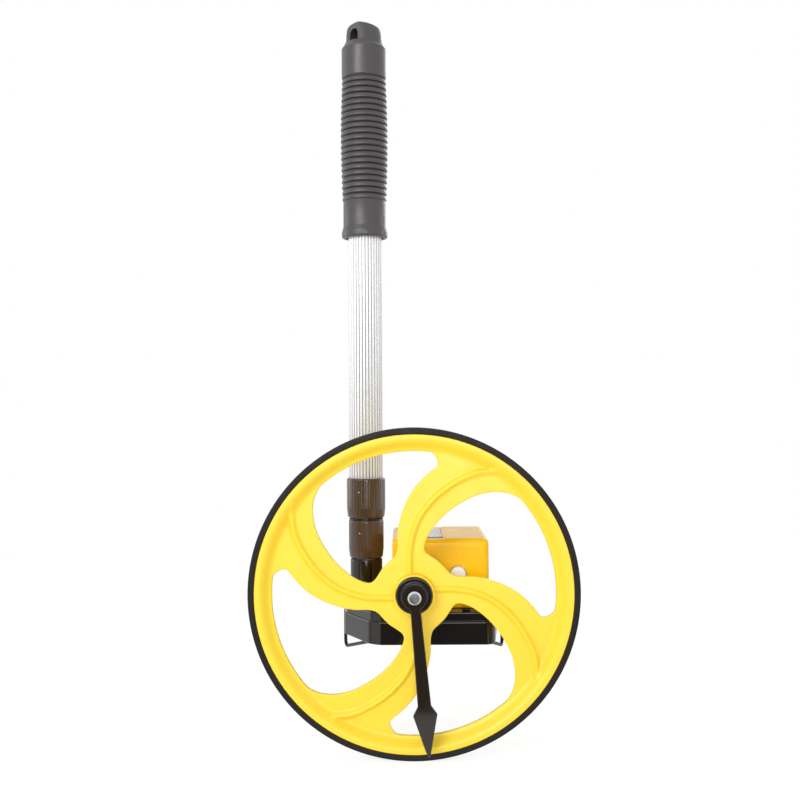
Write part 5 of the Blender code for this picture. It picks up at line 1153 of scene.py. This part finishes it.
FLUTES = 33
FLUTE_DEPTH = 0.42
FLUTE_SHARE = 0.45
COLLAR_FLUTES = 36
COLLAR_FLUTE_DEPTH = 0.12
COLLAR_RUN_OUT = 1.2
TUBE_EDGE = 0.15
LOWER_COLLAR_RADIUS, UPPER_COLLAR_RADIUS = 12.1, 13.35
MARK_RADIUS, MARK_HEIGHT = 0.5, 0.5
MARK_ABOVE_MIDDLE = 4.7
MARK_TURN = math.radians(-110.5)


def tube_section(node, inner, outer, fall=0):
    """The section of a tube with broken edges, as long as its CAD node. The fall lowers its outside."""
    low, high = (corner[2] for corner in box_of(node))
    outside, edge = outer - fall, TUBE_EDGE
    return [
        (inner, low + edge), (inner + edge, low), (outside - edge, low), (outside, low + edge),
        (outside, high - edge), (outside - edge, high), (inner + edge, high), (inner, high - edge),
        (inner, low + edge),
    ]


def make_plain_tube(name, node, body, inner, outer):
    mesh = turned_up(name, tube_section(node, inner, outer), all_round(96))
    place_mesh(name, mesh, DARKER_ALUMINIUM, body, [node])


def make_fluted_tube():
    """The outer tube's radius falls, in each of its even flutes, by the flute's depth times a raised cosine
    of the place across the flute."""
    inner, outer = 10.6, 11.7
    angles = all_round(FLUTES * 20)
    step = math.tau / FLUTES
    away = np.abs((angles + step / 2) % step - step / 2) / (step / 2)
    fall = FLUTE_DEPTH * 0.5 * (1 + np.cos(math.pi * np.clip(away / FLUTE_SHARE, 0, 1)))
    mesh = turned_up("fluted_pole", tube_section("outer_tube", inner, outer, fall), angles)

    def in_flute(points):
        radius = np.hypot(points[:, 0] - POLE_X, points[:, 1] - POLE_Y)
        return np.where(radius > inner + TUBE_EDGE * 1.1, np.clip((outer - radius) / FLUTE_DEPTH, 0, 1), 0)

    marked(mesh, FLUTE_MARK, in_flute)
    place_mesh("fluted_pole", mesh, ALUMINIUM, "outer_tube", ["outer_tube"], 50)


def make_collar(name, node, outer, lip, bore):
    """A twist collar: its outside has shallow narrow flutes, a cosine raised to a high power, which run out
    before its rounded ends. The lip closes round the lower tube."""
    low, high = (corner[2] for corner in box_of(node))
    section = rounded([
        (bore, low + 1.5, 0), (bore, high, 0.3), (outer, high, 1.1), (outer, low + (high - low) / 4, 12),
        (outer - 0.6, low + 0.8, 1.4), (outer - 2.0, low, 0.5), (lip, low, 0.3), (lip, low + 1.5, 0),
        (bore, low + 1.5, 0),
    ], 6)
    fine = [section[:1]]
    for start, end in zip(section[:-1], section[1:]):
        count = max(1, int(np.hypot(*(end - start)) / 0.9))
        fine.append(start + np.linspace(0, 1, count + 1)[1:, None] * (end - start))
    section = np.concatenate(fine)

    def in_flute(angle, height):
        below_top = eased((high - COLLAR_RUN_OUT - height) / COLLAR_RUN_OUT)
        above_foot = eased((height - low - 1.6) / COLLAR_RUN_OUT)
        return below_top * above_foot * ((1 + np.cos(COLLAR_FLUTES * angle)) / 2) ** 5

    angles = all_round(COLLAR_FLUTES * 12)
    outside = eased((section[:, :1] - (outer - 0.9)) / 0.5)
    radius = section[:, :1] - COLLAR_FLUTE_DEPTH * outside * in_flute(angles, section[:, 1:])
    mesh = turned_up(name, list(zip(radius, section[:, 1])), angles)
    marked(mesh, FLUTE_MARK, lambda points: in_flute(
        np.arctan2(points[:, 1] - POLE_Y, points[:, 0] - POLE_X), points[:, 2]))
    place_mesh(name, mesh, BROWN_ABS, node, [node], 60)


def make_collar_seal():
    """A dark ring that fills the gap between the two collars, and rides with the lower one: painted shade,
    darkening the gap as its shadow does.
    """
    mesh = turned_up("collar_gap_shade", ring_section(10.65, 11.9, 146.73, 147.55), all_round(96))
    place_mesh("collar_gap_shade", mesh, BLACK_NYLON, "lower_collar", ())


def make_collar_mark(name, node, outer):
    """A small moulded pip on the collar, domed, and white as a painted highlight: its height falls as a quarter
    of an ellipse.
    """
    low, high = (corner[2] for corner in box_of(node))
    out, side = (np.array([*ray(turn), 0]) for turn in (MARK_TURN, MARK_TURN + math.pi / 2))
    middle = np.array([POLE_X, POLE_Y, (low + high) / 2 + MARK_ABOVE_MIDDLE]) + (outer - 0.35) * out
    turn = np.linspace(0, math.pi / 2, 7)[:, None, None]
    angles = all_round(24)[None, :, None]
    flat = MARK_RADIUS * np.sin(turn) * (np.cos(angles) * side + np.sin(angles) * [0, 0, 1])
    dome = middle + flat + MARK_HEIGHT * np.cos(turn) * out
    place_mesh(name, mesh_of(name, [dome], [dome[-1, :-1]]), WHITE_ACETAL, node, ())


GRIP_BORE = 12.0
GRIP_MOUTH, GRIP_MOUTH_DEPTH = 13.0, 1.6
GRIP_NECK = 14.8
RIB_START, RIB_END = 367.403, 452.3
RIB_COUNT, RIB_STEPS = 21, 18
RIB_DEPTH, RIB_CREST_PLACE = 1.15, 0.25
CREST_RADIUS, CREST_SWELL = 15.3, 1.1
GRIP_TOP_RADIUS = 15.5
SHOULDER, TONGUE_TOP = 473.2, 490.6
SHELF, EYE_BOTTOM, EYE_ARCH_TOP = 477.2, 478.0, 486.7
EYE_FLAT = 8.5
EYE_HALF = 5.1
EYE_TURN = math.radians(55)
TONGUE_SHARES = (
    (1.0, 0.0), (0.945, 0.06), (0.87, 0.17), (0.84, 0.33), (0.82, 0.55), (0.79, 0.78), (0.72, 0.92),
    (0.56, 0.985), (0.3, 1.0), (0.0, 1.0),
)
TONGUE_SLOPE, SLOPE_START_X = 0.17, -3.0
BEYOND = 25
grip_low, grip_high = box_of("grip")


def make_grip_sleeve():
    """The ribbed sleeve, like stacked cups: a rib steps out quickly from its foot to its crest and slopes
    back in slowly above it, both as powers of the place across it. The crests swell along the sleeve as
    half a sine."""
    low = grip_low[2]
    flare = rounded([
        (GRIP_BORE, low + GRIP_MOUTH_DEPTH, 0), (GRIP_MOUTH, low + GRIP_MOUTH_DEPTH, 0),
        (GRIP_MOUTH, low, 0.3), (15.85, low, 1.5), (15.85, low + 4.4, 3.0), (GRIP_NECK, low + 8.2, 6.0),
        (GRIP_NECK, RIB_START, 0),
    ], 8)
    height = np.linspace(RIB_START, RIB_END, RIB_COUNT * RIB_STEPS + 1)
    place = (height - RIB_START) / (RIB_END - RIB_START)
    across = place * RIB_COUNT % 1
    across[-1] = 1
    below, above = 1 - across / RIB_CREST_PLACE, (across - RIB_CREST_PLACE) / (1 - RIB_CREST_PLACE)
    fall = np.where(across < RIB_CREST_PLACE, np.abs(below) ** 2.2, np.abs(above) ** 1.8)
    radius = CREST_RADIUS + CREST_SWELL * np.sin(math.pi * place) - RIB_DEPTH * fall
    ribs = np.stack([radius, height], axis=-1)[1:]
    section = np.concatenate([flare, ribs, [(GRIP_BORE, RIB_END)], flare[:1]])
    mesh = turned_up("grip_sleeve", section, all_round(128))
    place_mesh("grip_sleeve", mesh, GRIP_RUBBER, "outer_tube", ["grip"], 60)


def across_eye(points):
    """Points given along the eye's axis, across it and up, placed on the pole."""
    along, side, up = points[..., 0], points[..., 1], points[..., 2]
    return np.stack([POLE_X + along * math.sin(EYE_TURN) + side * math.cos(EYE_TURN),
                     POLE_Y + along * math.cos(EYE_TURN) - side * math.sin(EYE_TURN), up], axis=-1)


def make_grip_end():
    """The solid end: a turned tongue whose top slopes down to the right, with two flats and an arched eye,
    its edges melted together by remeshing and smoothing."""
    rise_all = TONGUE_TOP - SHOULDER
    tongue = smooth_line(np.array([(share * GRIP_TOP_RADIUS, SHOULDER + rise * rise_all)
                                   for share, rise in TONGUE_SHARES[::-1]]), 6)
    foot = [(GRIP_TOP_RADIUS, RIB_END + 0.8), (14.7, RIB_END - 0.1), (0, RIB_END - 0.1)]
    body = turned_up("grip_end", np.concatenate([tongue, foot]), all_round(96))

    def sloped(points):
        share = np.clip((points[:, 2] - SHOULDER) / rise_all, 0, 1)
        fall = TONGUE_SLOPE * np.maximum(points[:, 0] - POLE_X - SLOPE_START_X, 0) * share
        return points - fall[:, None] * [0, 0, 1]

    cutters = []
    for near, far in ((-EYE_FLAT, -BEYOND), (EYE_FLAT, BEYOND)):
        sides = [(near, -BEYOND), (near, BEYOND), (far, BEYOND), (far, -BEYOND), (near, -BEYOND)]
        corners = [[(along, side, up) for along, side in sides] for up in (SHELF, TONGUE_TOP + 5)]
        cutters.append(closed_mesh("eye_flat", across_eye(np.array(corners))))
    arch = ray(np.linspace(math.pi, 0, 17)) * EYE_HALF + [0, EYE_ARCH_TOP - EYE_HALF]
    arch = [(-EYE_HALF, EYE_BOTTOM), *arch, (EYE_HALF, EYE_BOTTOM), (-EYE_HALF, EYE_BOTTOM)]
    corners = [[(along, side, up) for side, up in arch] for along in (-BEYOND, BEYOND)]
    cutters.append(closed_mesh("eye_hole", across_eye(np.array(corners))))
    holder = linked("grip_end", cut(changed(body, sloped), *cutters))
    remesh = holder.modifiers.new("melt", "REMESH")
    remesh.mode, remesh.voxel_size = "VOXEL", 0.42 * MM
    soften = holder.modifiers.new("soften", "SMOOTH")
    soften.factor, soften.iterations = 0.5, 4
    place_mesh("grip_end", evaluated(holder), GRIP_RUBBER, "outer_tube", (), 80)


def make_pole():
    make_plain_tube("inner_pole", "inner_tube", "root", 8.1, 9.0)
    make_plain_tube("middle_pole", "middle_tube", "middle_tube", 9.3, 10.3)
    make_fluted_tube()
    make_collar("lower_twist_collar", "lower_collar", LOWER_COLLAR_RADIUS, 9.3, 10.6)
    make_collar("upper_twist_collar", "upper_collar", UPPER_COLLAR_RADIUS, 10.6, 12.0)
    make_collar_seal()
    make_collar_mark("lower_collar_pip_glint", "lower_collar", LOWER_COLLAR_RADIUS)
    make_collar_mark("upper_collar_pip_glint", "upper_collar", UPPER_COLLAR_RADIUS)
    make_grip_sleeve()
    make_grip_end()


KEPT_NODES = (
    (STEEL, ("front_bracket", "rear_bracket", "pinion_shaft", "drum_shaft", "reset_yoke")),
    (BLACK_NYLON, ("drum_gear", "carry_pinion_1", "carry_pinion_2", "carry_pinion_3", "carry_pinion_4",
                   "lower_guide", "upper_guide")),
    (WHITE_ACETAL, ("lower_collet", "upper_collet")),
    (BLACK_ABS, ("base_plate",)),
    (BLACK_STEEL, ("stand_clip_left", "stand_clip_right")),
)


def finish_kept_nodes():
    """The inner pieces whose CAD shape is right get their finish."""
    for material, names in KEPT_NODES:
        for name in names:
            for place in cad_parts[name].material_slots:
                place.material = material


IMAGE_SIDE = 800
CAMERA_FOCAL_PIXELS = 1045
CAMERA_PLACE = (-8.35, -713.45, 229.4)
CAMERA_ROLL = 0.3


def add_camera():
    """Level and nearly square to the wheel's face, as the photograph was taken."""
    data = bpy.data.cameras.new("camera")
    data.sensor_width = 36
    data.lens = CAMERA_FOCAL_PIXELS / IMAGE_SIDE * data.sensor_width
    data.clip_start, data.clip_end = 0.02, 20
    camera = linked("camera", data)
    camera.location = np.array(CAMERA_PLACE) * MM
    camera.rotation_euler = (math.pi / 2, math.radians(CAMERA_ROLL), 0)
    bpy.context.scene.camera = camera


def add_lamp(name, place, aim, size, power):
    """A soft rectangular lamp, aimed at a point."""
    data = bpy.data.lights.new(name, "AREA")
    data.shape, data.size, data.size_y = "RECTANGLE", size[0] * MM, size[1] * MM
    data.energy = power
    lamp = linked(name, data)
    place, aim = np.array(place) * MM, np.array(aim) * MM
    lamp.location = place
    lamp.rotation_mode = "QUATERNION"
    lamp.rotation_quaternion = Vector(aim - place).to_track_quat("-Z", "Y")
    lamp.visible_camera = False


def add_glow(tree, kind, strength):
    """A white shader that gives light of its own."""
    return add_node(tree, kind, {"Color": (1, 1, 1, 1), "Strength": strength})


def larger_of(tree, first, second):
    """The larger of two nodes' outputs."""
    return add_node(tree, "ShaderNodeMath", {"operation": "MAXIMUM"}, {0: first, 1: second})


def add_world():
    """Plain white to the camera, to gloss and through glass, and an even soft fill on the object."""
    world = bpy.data.worlds.new("studio")
    bpy.context.scene.world = world
    world.use_nodes = True
    tree = world.node_tree
    tree.nodes.clear()
    path = add_node(tree, "ShaderNodeLightPath")
    seen = larger_of(tree, (path, "Is Camera Ray"), (path, "Is Transmission Ray"))
    shown = larger_of(tree, (seen, 0), (path, "Is Glossy Ray"))
    fill, white = (add_glow(tree, "ShaderNodeBackground", strength) for strength in (0.42, 1.0))
    mixed = add_node(tree, "ShaderNodeMixShader", links={0: (shown, 0), 1: (fill, 0), 2: (white, 0)})
    add_node(tree, "ShaderNodeOutputWorld", links={"Surface": (mixed, 0)})


def flat_object(name, corners, faces, material):
    """An object of plain faces, from corners in millimetres."""
    mesh = bpy.data.meshes.new(name)
    mesh.from_pydata((np.array(corners) * MM).tolist(), [], faces)
    mesh.materials.append(material)
    return linked(name, mesh)


def add_floor():
    """A pale floor: white to the camera and to gloss, and near the object it keeps a faint share of its
    shadow."""
    material, tree = new_material("pale_floor")
    path = add_node(tree, "ShaderNodeLightPath")
    seen = larger_of(tree, (path, "Is Camera Ray"), (path, "Is Glossy Ray"))
    matt = add_node(tree, "ShaderNodeBsdfDiffuse", {"Color": (0.9, 0.9, 0.9, 1)})
    faint = add_node(tree, "ShaderNodeBsdfDiffuse", {"Color": (0.3, 0.3, 0.3, 1)})
    pale, far = (add_glow(tree, "ShaderNodeEmission", strength) for strength in (0.83, 1.0))
    near = add_node(tree, "ShaderNodeAddShader", links={0: (faint, 0), 1: (pale, 0)})
    place = add_node(tree, "ShaderNodeTexCoord")
    nearness = add_node(tree, "ShaderNodeTexGradient", {"gradient_type": "SPHERICAL"},
                        {"Vector": (place, "Object")})
    lit = add_node(tree, "ShaderNodeMixShader", links={0: (nearness, "Fac"), 1: (far, 0), 2: (near, 0)})
    mixed = add_node(tree, "ShaderNodeMixShader", links={0: (seen, 0), 1: (matt, 0), 2: (lit, 0)})
    add_node(tree, "ShaderNodeOutputMaterial", links={"Surface": (mixed, 0)})
    reach = 6000
    corners = [(-reach, -reach, 0), (reach, -reach, 0), (reach, reach, 0), (-reach, reach, 0)]
    floor = flat_object("floor", corners, [(0, 1, 2, 3)], material)


def add_dark_card():
    """The dark end of the studio: a wedge of cloth on the floor before the object, and up behind the camera.
    Only gloss sees it, so that edges stand out from faces."""
    material, tree = new_material("dark_card")
    glow = add_glow(tree, "ShaderNodeEmission", 0.12)
    add_node(tree, "ShaderNodeOutputMaterial", links={"Surface": (glow, 0)})
    corners = [(-130, -170, 1), (130, -170, 1), (900, -2300, 1), (-900, -2300, 1), (900, -2300, 1300),
               (-900, -2300, 1300)]
    card = flat_object("dark_card", corners, [(0, 3, 2, 1), (3, 5, 4, 2)], material)
    card.visible_camera = card.visible_diffuse = card.visible_transmission = card.visible_shadow = False


add_camera()
make_wheel()
make_tyre()
make_bush()
make_axle()
make_axle_rings()
make_drive_sleeve()
make_needle()
make_base()
make_screws()
make_stand()
make_counter_shell()
make_window()
make_window_lip()
make_reset_cap()
make_reset_coil()
make_number_wheels()
make_pole()
finish_kept_nodes()
add_world()
add_floor()
add_dark_card()
add_lamp("key", (-760, -1400, 850), (0, 0, 200), (900, 650), 13.5)
add_lamp("front", (60, -1750, 330), (0, 0, 200), (600, 600), 7.5)
add_lamp("left", (-1300, 500, 350), (0, 0, 150), (500, 900), 2.7)
add_lamp("right", (1300, 400, 350), (0, 0, 150), (400, 900), 2)
add_lamp("back", (650, 1400, 900), (0, 0, 200), (800, 800), 5)
bpy.context.scene.view_settings.view_transform = "Standard"
